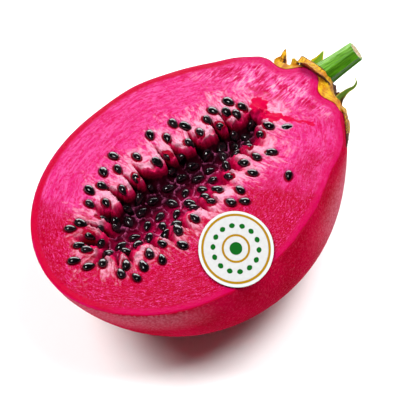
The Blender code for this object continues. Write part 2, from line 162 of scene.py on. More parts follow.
# The wet patch past the hollow, and red streaks: where each starts and ends and its radius
WET_STRIPS = (
    ((26.0, 2.6), (23.8, 0.2), 2.0),
    ((23.8, -0.4), (26.6, -4.4), 1.25),
    ((26.6, -4.4), (28.2, -8.0), 0.80),
    ((28.2, -8.0), (31.0, -12.6), 0.42),
)
WET_WARP = 1.1
WET_FRAY = 0.5

# The label
LABEL_CENTRE = np.array((-10.9, -24.5))
LABEL_SIZE = (22.8, 18.6)
LABEL_THICKNESS = 0.4
LABEL_TURN = math.radians(51.8)
LABEL_GAP = 0.3
LABEL_CURL = 0.12
LABEL_DOTS = 14

# The stem
STEM_ROOT = Vector((44.6, -2.1, -2.7))
STEM_TIP = Vector((55.8, -5.4, 0.4))
STEM_RUN = STEM_TIP - STEM_ROOT
STEM_AXIS = STEM_RUN.normalized()
STEM_SPIN = STEM_RUN.to_track_quat("Z", "Y").to_matrix()
STEM_ROOT_RADIUS = 3.15
STEM_TIP_RADIUS = 2.65
STEM_ROOT_FLARE = 0.3
STEM_RIDGES = 9
STEM_RIDGE_HEIGHT = 0.16
STEM_FINE_RIDGE_HEIGHT = 0.06
# The side of the stem towards the lamps: painted highlight goes on it, painted shade on the side
# away from it
STEM_LIT_SIDE = Vector((-0.35, 0.62, 0.70))
STEM_CUT_SLANT = 0.32
STEM_CUT_FACING = Vector((-0.37, -0.47, 0.80))
STEM_CUT_ROUGHNESS = 0.14

# The calyx: its collar's outer shape, radius and place along the fruit
COLLAR_AXIS = np.array((-1.4, -3.0))
COLLAR_PINCH = 0.2
COLLAR_PINCH_RADIUS = 9.0
COLLAR_PROFILE = ((3.6, 44.9), (4.8, 44.7), (5.7, 43.6), (7.4, 41.9), (9.8, 41.0), (12.0, 40.4),
                  (13.4, 38.9), (14.5, 37.5), (14.1, 36.7))
COLLAR_FACE_HEIGHT = -0.1
COLLAR_RING_START = 43.2
COLLAR_TEAR = 1.5
COLLAR_RING_TEAR = 0.7
COLLAR_FOLD = 0.5
CALYX_GAP = 0.03
CALYX_VOXEL = 0.19
CALYX_WRINKLE = 0.12
CALYX_LUMP = 0.09
SPIKE_BACK = np.array((-0.55, 0.80, 0.2))
CUTTER_REACH = 60

# Bracts: spine points, width at each, thickness, the way the flat side runs and the cup
BROWN_BRACTS = (
    (((38.8, 8.0, -3.0), (40.9, 8.6, -1.5), (42.4, 8.85, -0.6), (43.9, 9.4, 0.0),
      (45.1, 9.85, 0.5)), (6.0, 4.5, 2.3, 1.1, 0.30), 1.0, (0.3, 1, 0.2), 0.5),
    (((39.4, 4.2, -3.2), (42.2, 4.9, -1.4), (43.7, 6.1, -0.1)), (5.0, 3.6, 0.8), 1.0,
     (0, 1, 0.3), 0.4),
    (((43.5, 5.2, -1.2), (44.3, 4.1, 0.1), (44.3, 1.6, 0.8), (44.3, -1.4, 1.1), (44.4, -4.0, 0.9),
      (43.3, -5.6, 0.2)), (2.0, 2.8, 2.8, 2.6, 2.2, 1.0), 0.7, (1, 0, 0.3), 0.2),
    (((41.6, -7.4, -4.4), (42.4, -7.6, -3.7), (43.3, -6.8, -3.3), (44.2, -6.0, -2.9)),
     (2.0, 1.6, 1.1, 0.4), 0.8, (0, 1, 0.2), 0.3),
    (((39.8, -12.0, -2.2), (38.9, -14.8, -2.2), (36.9, -17.4, -2.2), (33.7, -20.7, -2.0),
      (31.0, -22.9, -1.8)), (3.0, 2.5, 1.9, 1.3, 0.3), 0.9, (0.5, 0, 1), 0.2),
    (((40.6, 3.0, -9.4), (43.4, 4.2, -12.6), (46.8, 5.8, -15.8)), (6.0, 3.8, 0.3), 1.1,
     (0, 1, 0.5), 0.5),
    (((40.2, -3.4, -10.6), (42.0, -3.4, -13.2), (42.6, -3.0, -15.6)), (5.0, 3.2, 0.3), 1.0,
     (0, 1, 0.1), 0.5),
    (((39.8, -7.8, -10.4), (40.4, -8.2, -13.0), (39.8, -8.0, -15.8)), (5.0, 3.4, 0.3), 1.1,
     (0, 1, -0.8), 0.5),
    (((42.0, -8.0, -4.2), (42.8, -8.15, -3.6), (43.9, -8.4, -3.1)), (1.8, 1.3, 0.4), 0.8,
     (0, 1, 0.2), 0.3),
)

# Which of the brown bracts is which, for their colours
SPIKE, BACK_SPIKE, FLAP, LEFT_THORN, RIBBON, RIGHT_THORN = 0, 1, 2, 3, 4, 8
SPINE_SAMPLES = 40

# Fresh bracts: the node that each replaces, and then the same values as for the brown ones
GREEN_BRACTS = (
    ("green_bract_curled",
     ((39.2, -10.6, -4.2), (40.6, -10.3, -3.6), (42.1, -9.7, -3.2), (43.7, -9.95, -2.7),
      (45.5, -10.45, -2.2), (47.2, -11.05, -2.0), (48.5, -11.0, -1.5), (49.45, -10.25, -0.9)),
     (3.0, 2.8, 2.3, 1.7, 1.15, 0.8, 0.55, 0.12), 0.8, (0, 0.5, 1), 0.5),
    ("green_bract_upright",
     ((43.4, 2.4, -3.8), (46.2, 2.2, -2.8), (48.4, 2.1, -2.0), (51.0, 2.5, -1.0)),
     (4.6, 3.4, 2.3, 0.15), 0.9, (0, 1, 0.3), 0.6),
)

# Lamps: place in mm, width and height in m, power in W, and whether it is left out of
# reflections or out of diffuse light
LAMPS = {
    "left": ((-342.0, 466.0, 748.0), 0.44, 0.44, 10.6, "visible_glossy"),
    "right": ((301.0, -193.0, 878.0), 0.44, 0.44, 10.6, "visible_glossy"),
    "glint": ((540.0, 520.0, 300.0), 1.1, 0.5, 11.0, "visible_diffuse"),
    "sparkle": ((-330.0, 60.0, 620.0), 0.2, 0.2, 1.6, "visible_diffuse"),
}
LAMP_AIM = Vector((0.0, 0.0, 20.0))
WORLD_STRENGTH = 0.07
FLOOR_SIZE = 6.0

# The photograph's camera: where it looks from, and its place over the middle of the cut face
CAMERA_AZIMUTH = math.radians(-45.7)
CAMERA_ELEVATION = math.radians(52.0)
CAMERA_DISTANCE = 460.4
CAMERA_LENS = 162.0
AIM_RIGHT = 0.98
AIM_UP = -7.35


# The half's lie: pitched up at the stem and rolled a little
LIE = Matrix.Rotation(-PITCH, 3, "Y") @ Matrix.Rotation(ROLL, 3, "X")


def row_shift():
    """From the fruit's axes to the row frame, in mm, by where the label's solid is."""
    low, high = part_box("label")
    rise = LABEL_GAP + LABEL_THICKNESS / 2
    return (low + high) / 2 / MM - LIE @ Vector((*LABEL_CENTRE, rise))


TILT = np.array(LIE)
SHIFT = np.array(row_shift())


def to_row(points):
    """Points in the fruit's axes, in mm, as points of the row frame, in metres."""
    return (np.asarray(points, float) @ TILT.T + SHIFT) * MM


def smooth(value, low, high):
    """0 below low, 1 above high and a smooth step between."""
    share = np.clip((value - low) / (high - low), 0.0, 1.0)
    return share * share * (3 - 2 * share)


def between(pair, share):
    """A value between two, at a share of the way."""
    return pair[0] + (pair[1] - pair[0]) * share


def bell(value, width):
    """1 at no value, fading away on either side."""
    return np.exp(-(value / width) ** 2)


def columns(*parts):
    """Arrays side by side as columns; a number fills its whole column."""
    rows = max(len(part) for part in parts if np.ndim(part))
    return np.column_stack([part if np.ndim(part) else np.full(rows, part) for part in parts])


def turned(along, across, turn):
    """A step in a plane, seen in axes that are turned by an angle."""
    return (along * math.cos(turn) + across * math.sin(turn),
            across * math.cos(turn) - along * math.sin(turn))


def oval_reach(along, across, turn, size):
    """How far a place is from the middle of a turned oval, 1 at its edge."""
    along, across = turned(along, across, turn)
    return np.hypot(along / (size[0] / 2), across / (size[1] / 2))


def ring_points(sides):
    """The bearing of each point of a ring, with its cosine and its sine."""
    bearings = [2 * math.pi * side / sides for side in range(sides)]
    return [(bearing, math.cos(bearing), math.sin(bearing)) for bearing in bearings]


def way_along(points):
    """Length of the way along a line to each of its points."""
    steps = np.linalg.norm(np.diff(points, axis=0), axis=1)
    return np.concatenate([[0.0], np.cumsum(steps)])


def roughness_field(points, scale, seed=0.0):
    """Smooth noise, -1 to 1, at points in mm, with features of about the given size."""
    offset = Vector((seed, seed * 1.7, -seed))
    return np.array([noise.noise(Vector(point) / scale + offset) for point in points])


def warp(points, scale, *seeds):
    """A smooth shift in the face's plane at points in mm, one noise field for each way."""
    return columns(*[roughness_field(points, scale, seed) for seed in seeds])


def nearest(points, targets, chunk=4000):
    """Index of and distance to the nearest target of each point."""
    index = np.empty(len(points), int)
    distance = np.empty(len(points))
    for start in range(0, len(points), chunk):
        part = points[start:start + chunk]
        gaps = ((part[:, None, :] - targets[None]) ** 2).sum(axis=2)
        best = gaps.argmin(axis=1)
        index[start:start + chunk] = best
        distance[start:start + chunk] = np.sqrt(gaps[np.arange(len(part)), best])
    return index, distance


def egg_radius(share):
    """Radius of the fruit at a share of its length."""
    peak = BLUNT_POWER / (BLUNT_POWER + STEM_POWER)
    scale = peak ** BLUNT_POWER * (1 - peak) ** STEM_POWER
    return FRUIT_RADIUS * share ** BLUNT_POWER * (1 - share) ** STEM_POWER / scale


def face_half_width(u):
    """Half the width of the cut face at a place along the fruit."""
    share = u / FRUIT_LENGTH + 0.5
    if not 0.0 < share < 1.0:
        return 0.0
    return math.sqrt(max(egg_radius(share) ** 2 - AXIS_DEPTH ** 2, 0.0))


def lean(points):
    """Shift what lies deep below the face towards the stem and the -v side."""
    body_depth = FRUIT_RADIUS + AXIS_DEPTH
    slide = points[..., 2] * (1 - 0.5 * (points[..., 2] / body_depth) ** 2)
    moved = points.copy()
    moved[..., 0] += LEAN_ALONG * slide
    moved[..., 1] += LEAN_ACROSS * slide
    return moved


def hollow_half_width(bearing):
    """Half the width of the hollow's plain oval, at a bearing from its middle."""
    return HOLLOW_HALF_WIDTH - HOLLOW_TAPER * np.cos(bearing)


def hollow_outline():
    """Points round the hollow's plain oval, and the share of the way round at each."""
    turn = np.linspace(0, 2 * math.pi, OUTLINE_POINTS)
    oval = columns(HOLLOW_HALF_LENGTH * np.cos(turn), hollow_half_width(turn) * np.sin(turn))
    way = way_along(oval)
    return oval, way / way[-1]


OVAL, OVAL_SHARE = hollow_outline()


def oval_point(share):
    """Point of the oval at a share of the way round it."""
    return np.array([np.interp(share % 1.0, OVAL_SHARE, OVAL[:, axis]) for axis in (0, 1)])


def oval_place(share):
    """Point and outward normal of the oval at a share of the way round it."""
    here = oval_point(share)
    along = oval_point(share + SHARE_STEP) - here
    along /= np.linalg.norm(along)
    return here, np.array((along[1], -along[0]))


def hollow_reach(along, across):
    """How far a place is from the hollow's middle, 1 at its plain oval."""
    bearing = np.arctan2(across / HOLLOW_HALF_WIDTH, along / HOLLOW_HALF_LENGTH)
    return np.hypot(along / HOLLOW_HALF_LENGTH, across / hollow_half_width(bearing))


def label_reach(u, v):
    """How far a place is from the label's middle, 1 at the label's edge."""
    return oval_reach(u - LABEL_CENTRE[0], v - LABEL_CENTRE[1], LABEL_TURN, LABEL_SIZE)


def face_seeds(draw):
    """Places and turns of the seeds round the hollow, drawn as the solids' are."""
    places = []
    for offset, phase, keep in SEED_ROWS:
        for index in range(LOBES):
            drift = draw.uniform(-ROW_DRIFT_ALONG, ROW_DRIFT_ALONG)
            share = (index + phase + drift) / LOBES
            here, outward = oval_place(share)
            squeeze = ROW_SQUEEZE_AT_ENDS * abs(math.cos(2 * math.pi * share)) ** 3
            wander = draw.uniform(-ROW_DRIFT_ACROSS, ROW_DRIFT_ACROSS)
            reach = offset * (1 - squeeze) + wander
            u, v = HOLLOW_CENTRE + here + outward * reach
            turn = math.atan2(outward[1], outward[0]) + draw.uniform(-ROW_TWIST, ROW_TWIST)
            kept = draw.random() < keep
            inside = abs(v) < face_half_width(u + RIM_SHIFT) - RIM_MARGIN
            clear = abs((share + 0.5) % 1.0 - 0.5) > BARE_END_SHARE
            bare = label_reach(u, v) > SEED_LABEL_CLEARANCE
            if kept and inside and clear and bare:
                places.append((u, v, turn))
    return places + [LONE_SEED]


def hollow_seeds(draw):
    """Places and turns of the seeds in the hollow, drawn as the solids' are."""
    places = []
    widest = HOLLOW_HALF_WIDTH + HOLLOW_TAPER / 2
    rows = int(2 * widest / SEED_SPACING)
    seeds_a_row = int(2 * HOLLOW_HALF_LENGTH / SEED_SPACING)
    for row in range(-rows // 2, rows // 2 + 1):
        for index in range(-seeds_a_row // 2, seeds_a_row // 2 + 1):
            across = row * SEED_SPACING * SEED_ROW_PITCH
            across += draw.uniform(-SEED_FLOOR_DRIFT, SEED_FLOOR_DRIFT)
            along = (index + 0.5 * (row % 2)) * SEED_SPACING
            along += draw.uniform(-SEED_FLOOR_DRIFT, SEED_FLOOR_DRIFT)
            turn = draw.uniform(0, math.pi)
            if hollow_reach(along, across) < SEED_FLOOR_REACH:
                places.append((HOLLOW_CENTRE[0] + along, HOLLOW_CENTRE[1] + across, turn))
    return places


def draw_layout():
    """Lobe lengths and seed places, in the order of the solids' own draws."""
    draw = random.Random(RANDOM_SEED)
    lengths = np.array([draw.uniform(*LOBE_LENGTHS) for _ in range(LOBES)])
    return lengths, face_seeds(draw), hollow_seeds(draw)


LOBE_LENGTH, FACE_SEEDS, HOLLOW_SEEDS = draw_layout()


def hollow_places(face):
    """What is round the hollow at places in the face.

    The share of the way round, the place within a lobe, how deep between two lobes, how much
    on the far side, and the distance outside the lobed edge, in mm.
    """
    local = face - HOLLOW_CENTRE
    index, distance = nearest(local, OVAL)
    signed = np.where(hollow_reach(*local.T) < 1, -distance, distance)
    u = face[:, 0]
    share = OVAL_SHARE[index] % 1.0
    turn = 2 * math.pi * share
    share = (share + LOBE_WARP * (np.sin(9 * turn + 1.0) + 0.8 * np.sin(15 * turn + 4.0))) % 1.0
    phase = (share * LOBES) % 1.0
    far = smooth(local[:, 1] + 0.15 * local[:, 0], -1.0, 3.0)
    notch = np.abs(2 * phase - 1) ** between(NOTCH_SHARPNESSES, far)
    notch *= 1 - smooth(u, 21.0, 25.0)
    length = LOBE_LENGTH[(share * LOBES).astype(int) % LOBES]
    vary = 0.5 + 0.45 * LOBE_LENGTH[(5 * np.rint(share * LOBES).astype(int)) % LOBES]
    depth = between((NOTCH_DEPTHS[0], NOTCH_DEPTHS[1] * vary), far)
    lobed = depth * notch - NOTCH_DEPTHS[0] * LOBE_REACH * length * (1 - notch)
    outside = between((np.exp(-np.abs(signed) / 5.0), bell(signed, FAR_NOTCH_REACH)), far)
    fade = np.where(signed < 0, np.exp(-np.abs(signed) / (3.0 - 1.8 * far)), outside)
    short = STEM_END_INFILL * smooth(u, 20.0, 26.0) + BLUNT_END_INFILL * smooth(-u, 18.0, 25.0)
    return share, phase, notch, far, signed - lobed * fade + short


def seed_metric(face, seeds, shift=0.0):
    """Distance from the nearest seed, 1 at a seed's outline."""
    best = np.full(len(face), np.inf)
    for u, v, turn in seeds:
        reach = oval_reach(face[:, 0] - u + shift, face[:, 1] - v, turn, SEED_SIZE)
        best = np.minimum(best, reach / SEED_SCALE)
    return best


def packed_seeds():
    """Places and turns of more seeds, wherever the hollow's wall and floor have room."""
    draw = random.Random(RANDOM_SEED + 2)
    span = (HOLLOW_HALF_LENGTH + 2, HOLLOW_HALF_WIDTH + HOLLOW_TAPER)
    low = HOLLOW_CENTRE - span
    high = HOLLOW_CENTRE + span
    tries = np.array([(draw.uniform(low[0], high[0]), draw.uniform(low[1], high[1]))
                      for _ in range(PACKED_TRIES)])
    edge = hollow_places(tries)[-1]
    taken = [(u, v) for u, v, _ in FACE_SEEDS + HOLLOW_SEEDS]
    places = []
    for (u, v), outside in zip(tries.tolist(), edge):
        if outside > -PACKED_MARGIN:
            continue
        if min(math.hypot(u - a, v - b) for a, b in taken) < PACKED_SPACING:
            continue
        taken.append((u, v))
        places.append((u, v, draw.uniform(0, math.pi)))
    return places


PACKED_SEEDS = packed_seeds()


def cell_ridge(face):
    """How much nearer a place is to its nearest seed of the hollow than to the next one."""
    centres = np.array([(u, v) for u, v, _ in HOLLOW_SEEDS + PACKED_SEEDS])
    gaps = np.linalg.norm(face[:, None, :] - centres[None], axis=2)
    gaps.sort(axis=1)
    return gaps[:, 1] - gaps[:, 0]


def crimson_zone(face):
    """Where the flesh is deep crimson and not hot pink: the blunt end and the -v side."""
    u, v = face.T
    blunt = smooth(-u - 0.25 * v, 18.0, 34.0)
    lower = smooth(-v - 0.35 * u, 6.0, 19.0) * smooth(-u, -22.0, 6.0)
    return np.clip(blunt + lower + 0.45 * smooth(-v, 8.0, 20.0), 0, 1)


def wet_patch(face, edge):
    """The smooth wet red patch past the hollow's stem end, with red streaks beyond it."""
    points = columns(face, 3.0)
    moved = face + WET_WARP * warp(points, 2.2, 21.0, 27.0)
    moved += WET_FRAY * warp(points, 0.8, 31.0, 37.0)
    reach = np.full(len(face), np.inf)
    for start, end, radius in WET_STRIPS:
        run = np.array(end) - start
        along = np.clip((moved - start) @ run / (run @ run), 0, 1)
        gap = np.linalg.norm(moved - start - along[:, None] * run, axis=1)
        reach = np.minimum(reach, gap / radius)
    return smooth(1 - reach, -0.7, 0.5) * smooth(edge, -2.5, -0.5)


def face_vectors(face, rim, share, edge):
    """Coordinates along the fibres, round the rings and along the stem end's brushing."""
    turn = 2 * math.pi * share
    angle = np.arctan2(face[:, 1] / FACE_HALF_WIDTH, face[:, 0] / FACE_HALF_LENGTH)
    return {
        "fibre": columns(20.7 * np.cos(turn), 20.7 * np.sin(turn), 0.28 * edge),
        "ring": columns(8.0 * np.cos(angle), 8.0 * np.sin(angle), 1.2 * rim),
        "brush": columns(0.30 * face[:, 0], 1.1 * (face[:, 1] + 1.0), 0.0),
    }


def hollow_bowl(edge, far):
    """Height of the hollow's lip, wall and floor, and how far inside its wall a place is."""
    inside = np.clip(-edge - 0.8 + 0.6 * far, 0, None)
    height = -between(LIP_DROPS, far) * smooth(-edge - 0.6 * far, -1.6 - 0.8 * far, 1.2)
    height -= between(FLOOR_DROPS, far) * (1 - np.exp(-inside / between(FLOOR_SPREADS, far)))
    return height, inside


def face_relief(face, rim):
    """Height of the cut face, and the masks and coordinates that colour it."""
    u, v = face.T
    share, phase, notch, far, edge = hollow_places(face)
    vectors = face_vectors(face, rim, share, edge)
    beyond = np.clip(edge, 0, None)
    crease = notch ** 2 * np.exp(-beyond / 3.0)
    height, inside = hollow_bowl(edge, far)
    gully = between(GULLY_DEPTHS, far) * crease * np.exp(-inside / 1.5)
    sink = 0.8 * gully - height

    # Lobes, membranes between the seeds in the hollow, and a dip round each seed outside it
    cells = cell_ridge(face + 0.7 * warp(columns(face, 7.0), 1.6, 12.0, 17.0))
    metric = seed_metric(face, FACE_SEEDS)
    floor = smooth(-edge, 1.2, 2.6)
    near_edge = bell(edge - 0.5, 2.4)
    lobe = np.sin(math.pi * phase)
    height += between(LOBE_SWELLS, far) * near_edge * (lobe ** 0.7 - 0.7) - gully
    height += floor * (MEMBRANE_HEIGHT * bell(cells, MEMBRANE_WIDTH) - PULP_DIP)
    height -= SEED_DIP * (1 - smooth(metric, 1.0, 1.4)) * (1 - floor)
    height += SEED_COLLAR * bell(metric - 1.6, 0.3) * smooth(edge, -1.0, 1.0)

    # Fine roughness, which fades under the label and at the rim
    points = columns(face, 0.0)
    knob = roughness_field(points, 1.0, 9.0)
    grain = roughness_field(points, 0.8, 5.0)
    near = np.exp(-beyond / 8.0)
    rough = FIBRE_HEIGHT * roughness_field(vectors["fibre"], 0.8, 3.0) * near
    rough += RING_HEIGHT * roughness_field(vectors["ring"], 0.7, 8.0) * (1 - near)
    rough += LUMP_HEIGHT * roughness_field(points, 3.2, 1.0) + GRAIN_HEIGHT * grain
    height += smooth(rim, 1.0, 3.0) * smooth(edge, -0.5, 1.5) * rough
    height += floor * PULP_GRAIN * grain + near_edge * (EDGE_KNOBS * knob + EDGE_GRAIN * grain)
    height -= EDGE_DROP * (1 - smooth(rim, 0.0, 0.7))
    under_label = smooth(label_reach(u, v), 0.95, 1.15)
    height = np.where(rim < 0.01, -EDGE_DROP, height * np.where(edge > 3, under_label, 1.0))
    masks = {
        "rim_mm": rim,
        "edge_mm": edge,
        "sink": sink,
        "halo": seed_metric(face, FACE_SEEDS, HALO_SHIFT),
        "upper": smooth(v - 0.35 * u, -4.0, 12.0),
        "membrane": bell(cells, 0.32) * floor,
        "near": smooth(-v - 0.10 * u, -2.5, 4.0),
        "crease": np.clip(crease, 0, 1),
        "crimson": crimson_zone(face),
        "wet": wet_patch(face, edge),
        "stem_end": smooth(u + 0.35 * v, 27.0, 33.0) * smooth(rim, 1.5, 4.0),
        "buried": seed_metric(face, BURIED_SEEDS),
    }
    return height, masks, vectors


def body_profile():
    """Stations from the blunt end to the stem: place along, radius and ring centre."""
    share = np.linspace(0, END_START / FRUIT_LENGTH + 0.5, PROFILE_SAMPLES)
    share = share ** 1.5 / share[-1] ** 0.5
    end = np.array(END_PROFILE)
    u = np.concatenate([(share - 0.5) * FRUIT_LENGTH, end[:, 1]])
    radius = np.concatenate([egg_radius(share), end[:, 0]])
    way = way_along(columns(u, radius))
    places = np.linspace(0, way[-1], STATIONS)
    u = np.interp(places, way, u)
    radius = np.interp(places, way, radius)
    for _ in range(2):
        late = np.arange(1, STATIONS - 1)[u[1:-1] > END_SMOOTHING_START]
        for values in (u, radius):
            values[late] = (values[late - 1] + values[late] + values[late + 1]) / 3
    blend = smooth(u, END_BLEND_START, END_START)
    centre = np.outer(1 - blend, (0.0, -AXIS_DEPTH)) + np.outer(blend, END_AXIS)
    return u, radius, centre


def skin_grid():
    """Points of the skin, one row a station, from the +v side of the face round to the -v side."""
    u, radius, centre = body_profile()
    lift = np.clip((centre[:, 1] + EDGE_DROP) / np.maximum(radius, 1e-6), -1.0, 1.0)
    first = np.arcsin(lift)[:, None]
    turn = first + (math.pi - 2 * first) * np.linspace(0, 1, SKIN_ROWS + 1)
    radius = radius[:, None]
    v = centre[:, :1] + radius * np.cos(turn)
    w = centre[:, 1:] - radius * np.sin(turn)
    for side, place, spread, level, depth, swell in SKIN_SWELLS:
        fuller = swell * bell(u - place, spread)[:, None] * bell(w - level, depth)
        v += side * fuller * smooth(side * v, 6.0, 14.0)
    along = np.broadcast_to(u[:, None], v.shape)
    return np.stack([along, v, w], axis=2), np.stack([along, radius * turn, 0 * v], axis=2)


def flatten_underside(points):
    """Shave the skin to the flat spot that the half rests on."""
    rows = to_row(points.reshape(-1, 3))
    rows[:, 2] = np.maximum(rows[:, 2], 0.0)
    return ((rows / MM - SHIFT) @ TILT).reshape(points.shape)


def grid_faces(rows, wide, start=0, wrap=False):
    """Quads of a grid whose points are numbered row by row."""
    row, column = np.meshgrid(np.arange(rows - 1), np.arange(wide if wrap else wide - 1),
                              indexing="ij")
    beside = (column + 1) % wide
    quads = np.stack([row * wide + column, row * wide + beside,
                      (row + 1) * wide + beside, (row + 1) * wide + column], axis=-1)
    return (quads.reshape(-1, 4) + start).tolist()


def tube_faces(rows, sides):
    """Faces of a closed tube: quads round its rings and a flat face at either end."""
    last = [(rows - 1) * sides + side for side in range(sides)]
    return grid_faces(rows, sides, wrap=True) + [last, list(range(sides))[::-1]]


def add_attributes(mesh, masks, vectors):
    """Per-point masks and coordinates for the materials."""
    for name, values in masks.items():
        layer = mesh.attributes.new(name, "FLOAT", "POINT")
        layer.data.foreach_set("value", np.asarray(values, np.float32))
    for name, values in vectors.items():
        layer = mesh.attributes.new(name, "FLOAT_VECTOR", "POINT")
        layer.data.foreach_set("vector", np.asarray(values, np.float32).ravel())


def drop_scraps(shape):
    """Keep only the largest body of a shape."""
    left = set(shape.verts)
    largest = set()
    while left:
        front = {left.pop()}
        body = set(front)
        while front:
            front = {edge.other_vert(spot) for spot in front for edge in spot.link_edges} & left
            left -= front
            body |= front
        largest = max(largest, body, key=len)
    scraps = [spot for spot in shape.verts if spot not in largest]
    bmesh.ops.delete(shape, geom=scraps, context="VERTS")


def clean_cut(shape, reach):
    """Drop the slivers, flaps and loose scraps that a Boolean cut leaves."""
    for _ in range(2):
        bmesh.ops.dissolve_degenerate(shape, edges=shape.edges, dist=reach)
        bmesh.ops.triangulate(shape, faces=shape.faces)
    crowded = {face for edge in shape.edges if len(edge.link_faces) > 2 for face in edge.link_faces}
    flaps = [face for face in crowded if any(len(edge.link_faces) == 1 for edge in face.edges)]
    bmesh.ops.delete(shape, geom=flaps, context="FACES")
    drop_scraps(shape)


def make_piece(name, points, faces, materials, masks=None, vectors=None,
               face_materials=None, weld=0.0, sharp=math.radians(50), grown=False):
    """An object from points in the fruit's axes, riding on the fruit."""
    mesh = bpy.data.meshes.new(name)
    mesh.from_pydata(to_row(points).tolist(), [], faces)
    add_attributes(mesh, masks or {}, vectors or {})
    for material in materials:
        mesh.materials.append(material)
    if face_materials is not None:
        mesh.polygons.foreach_set("material_index", np.asarray(face_materials, np.int32))
    shape = bmesh.new()
    shape.from_mesh(mesh)
    if weld:
        bmesh.ops.remove_doubles(shape, verts=shape.verts, dist=weld)
    if grown:
        clean_cut(shape, weld)
    bmesh.ops.recalc_face_normals(shape, faces=shape.faces)
    shape.to_mesh(mesh)
    shape.free()
    mesh.shade_smooth()
    mesh.set_sharp_from_angle(angle=sharp)
    piece = bpy.data.objects.new(name, mesh)
    bpy.context.scene.collection.objects.link(piece)
    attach(piece, "root")
    return piece


class Graph:
    """Builds a material's nodes; values are numbers, colours or other nodes' outputs."""

    def __init__(self, name):
        self.material = bpy.data.materials.new(name)
        self.material.use_nodes = True
        self.tree = self.material.node_tree
        self.shader = self.tree.nodes["Principled BSDF"]
        self.colour = None

    def feed(self, socket, value):
        """Link a socket to a node's output, or set its number or colour."""
        if isinstance(value, bpy.types.NodeSocket):
            self.tree.links.new(value, socket)
        elif socket.type == "RGBA":
            socket.default_value = (*value, 1.0)
        else:
            socket.default_value = value

    def node(self, kind, inputs, **settings):
        """A new node's outputs, once its settings are made and its inputs fed."""
        node = self.tree.nodes.new(kind)
        for name, value in settings.items():
            setattr(node, name, value)
        for key, value in inputs.items():
            self.feed(node.inputs[key], value)
        return node.outputs

    def mask(self, name):
        """A number that the mesh holds for each point."""
        return self.node("ShaderNodeAttribute", {}, attribute_name=name)["Fac"]

    def vector(self, name):
        """Coordinates that the mesh holds for each point."""
        return self.node("ShaderNodeAttribute", {}, attribute_name=name)["Vector"]

    def place(self):
        """The place in the piece's own axes, in metres."""
        return self.node("ShaderNodeTexCoord", {})["Object"]

    def noise(self, vector, scale, detail=3.0, rough=0.5, distortion=0.0):
        """Smooth noise, 0 to 1."""
        return self.node("ShaderNodeTexNoise", {
            "Vector": vector, "Scale": scale, "Detail": detail, "Roughness": rough,
            "Distortion": distortion})["Fac"]

    def maths(self, operation, first, second):
        """A sum, difference or product of two values."""
        return self.node("ShaderNodeMath", {0: first, 1: second}, operation=operation)[0]

    def add(self, first, second):
        """The sum of two values."""
        return self.maths("ADD", first, second)

    def times(self, product, *factors):
        """The product of all values."""
        for factor in factors:
            product = self.maths("MULTIPLY", product, factor)
        return product

    def sway(self, value, field, amount):
        """A value moved up and down by noise."""
        return self.add(value, self.times(self.maths("SUBTRACT", field, 0.5), amount))

    def step(self, value, low, high, start=0.0, stop=1.0):
        """A smooth step from start at low to stop at high."""
        return self.node("ShaderNodeMapRange", {
            "Value": value, "From Min": low, "From Max": high, "To Min": start,
            "To Max": stop}, interpolation_type="SMOOTHSTEP")["Result"]

    def mix(self, share, first, second):
        """A share of the second colour in the first."""
        return self.node("ShaderNodeMix", {0: share, 6: first, 7: second}, data_type="RGBA")[2]

    def paint(self, colour, *shares):
        """Lay a colour over the material's colour, by the product of some shares."""
        self.colour = self.mix(self.times(*shares), self.colour, colour)

    def bump(self, height, distance, strength):
        """Let the shader see a height as relief."""
        outputs = self.node("ShaderNodeBump", {
            "Height": height, "Distance": distance, "Strength": strength})
        self.feed(self.shader.inputs["Normal"], outputs["Normal"])

    def finish(self, roughness, **settings):
        """The material, with its colour, roughness and other settings in place."""
        settings = {"Base_Color": self.colour, "Roughness": roughness, **settings}
        for name, value in settings.items():
            self.feed(self.shader.inputs[name.replace("_", " ")], value)
        return self.material


HOT_PINK = (0.445, 0.0095, 0.110)
LIGHT_PINK = (0.530, 0.072, 0.255)
CRIMSON = (0.305, 0.0001, 0.018)
LILAC_GLINT = (0.560, 0.040, 0.235)
PALE = (0.590, 0.270, 0.365)
WET_RED = (0.430, 0.0002, 0.036)
HALO_RED = (0.230, 0.0006, 0.014)
RIND_PINK = (0.400, 0.0008, 0.064)
RIND_RED = (0.365, 0.0002, 0.024)
SCRATCH_RED = (0.400, 0.0004, 0.048)
PULP = (0.330, 0.0004, 0.028)
PULP_DEEP_AND_SHADE = (0.120, 0.0003, 0.012)
PULP_DARK_AND_SHADE = (0.016, 0.0002, 0.003)
PULP_NEAR = (0.235, 0.0005, 0.030)
LOBE_TIP_AND_GLOW = (0.490, 0.004, 0.070)
CREVICE_SHADE = (0.200, 0.0003, 0.014)
MEMBRANE_AND_HIGHLIGHT = (0.680, 0.130, 0.330)
BURIED_GREY = (0.250, 0.180, 0.225)


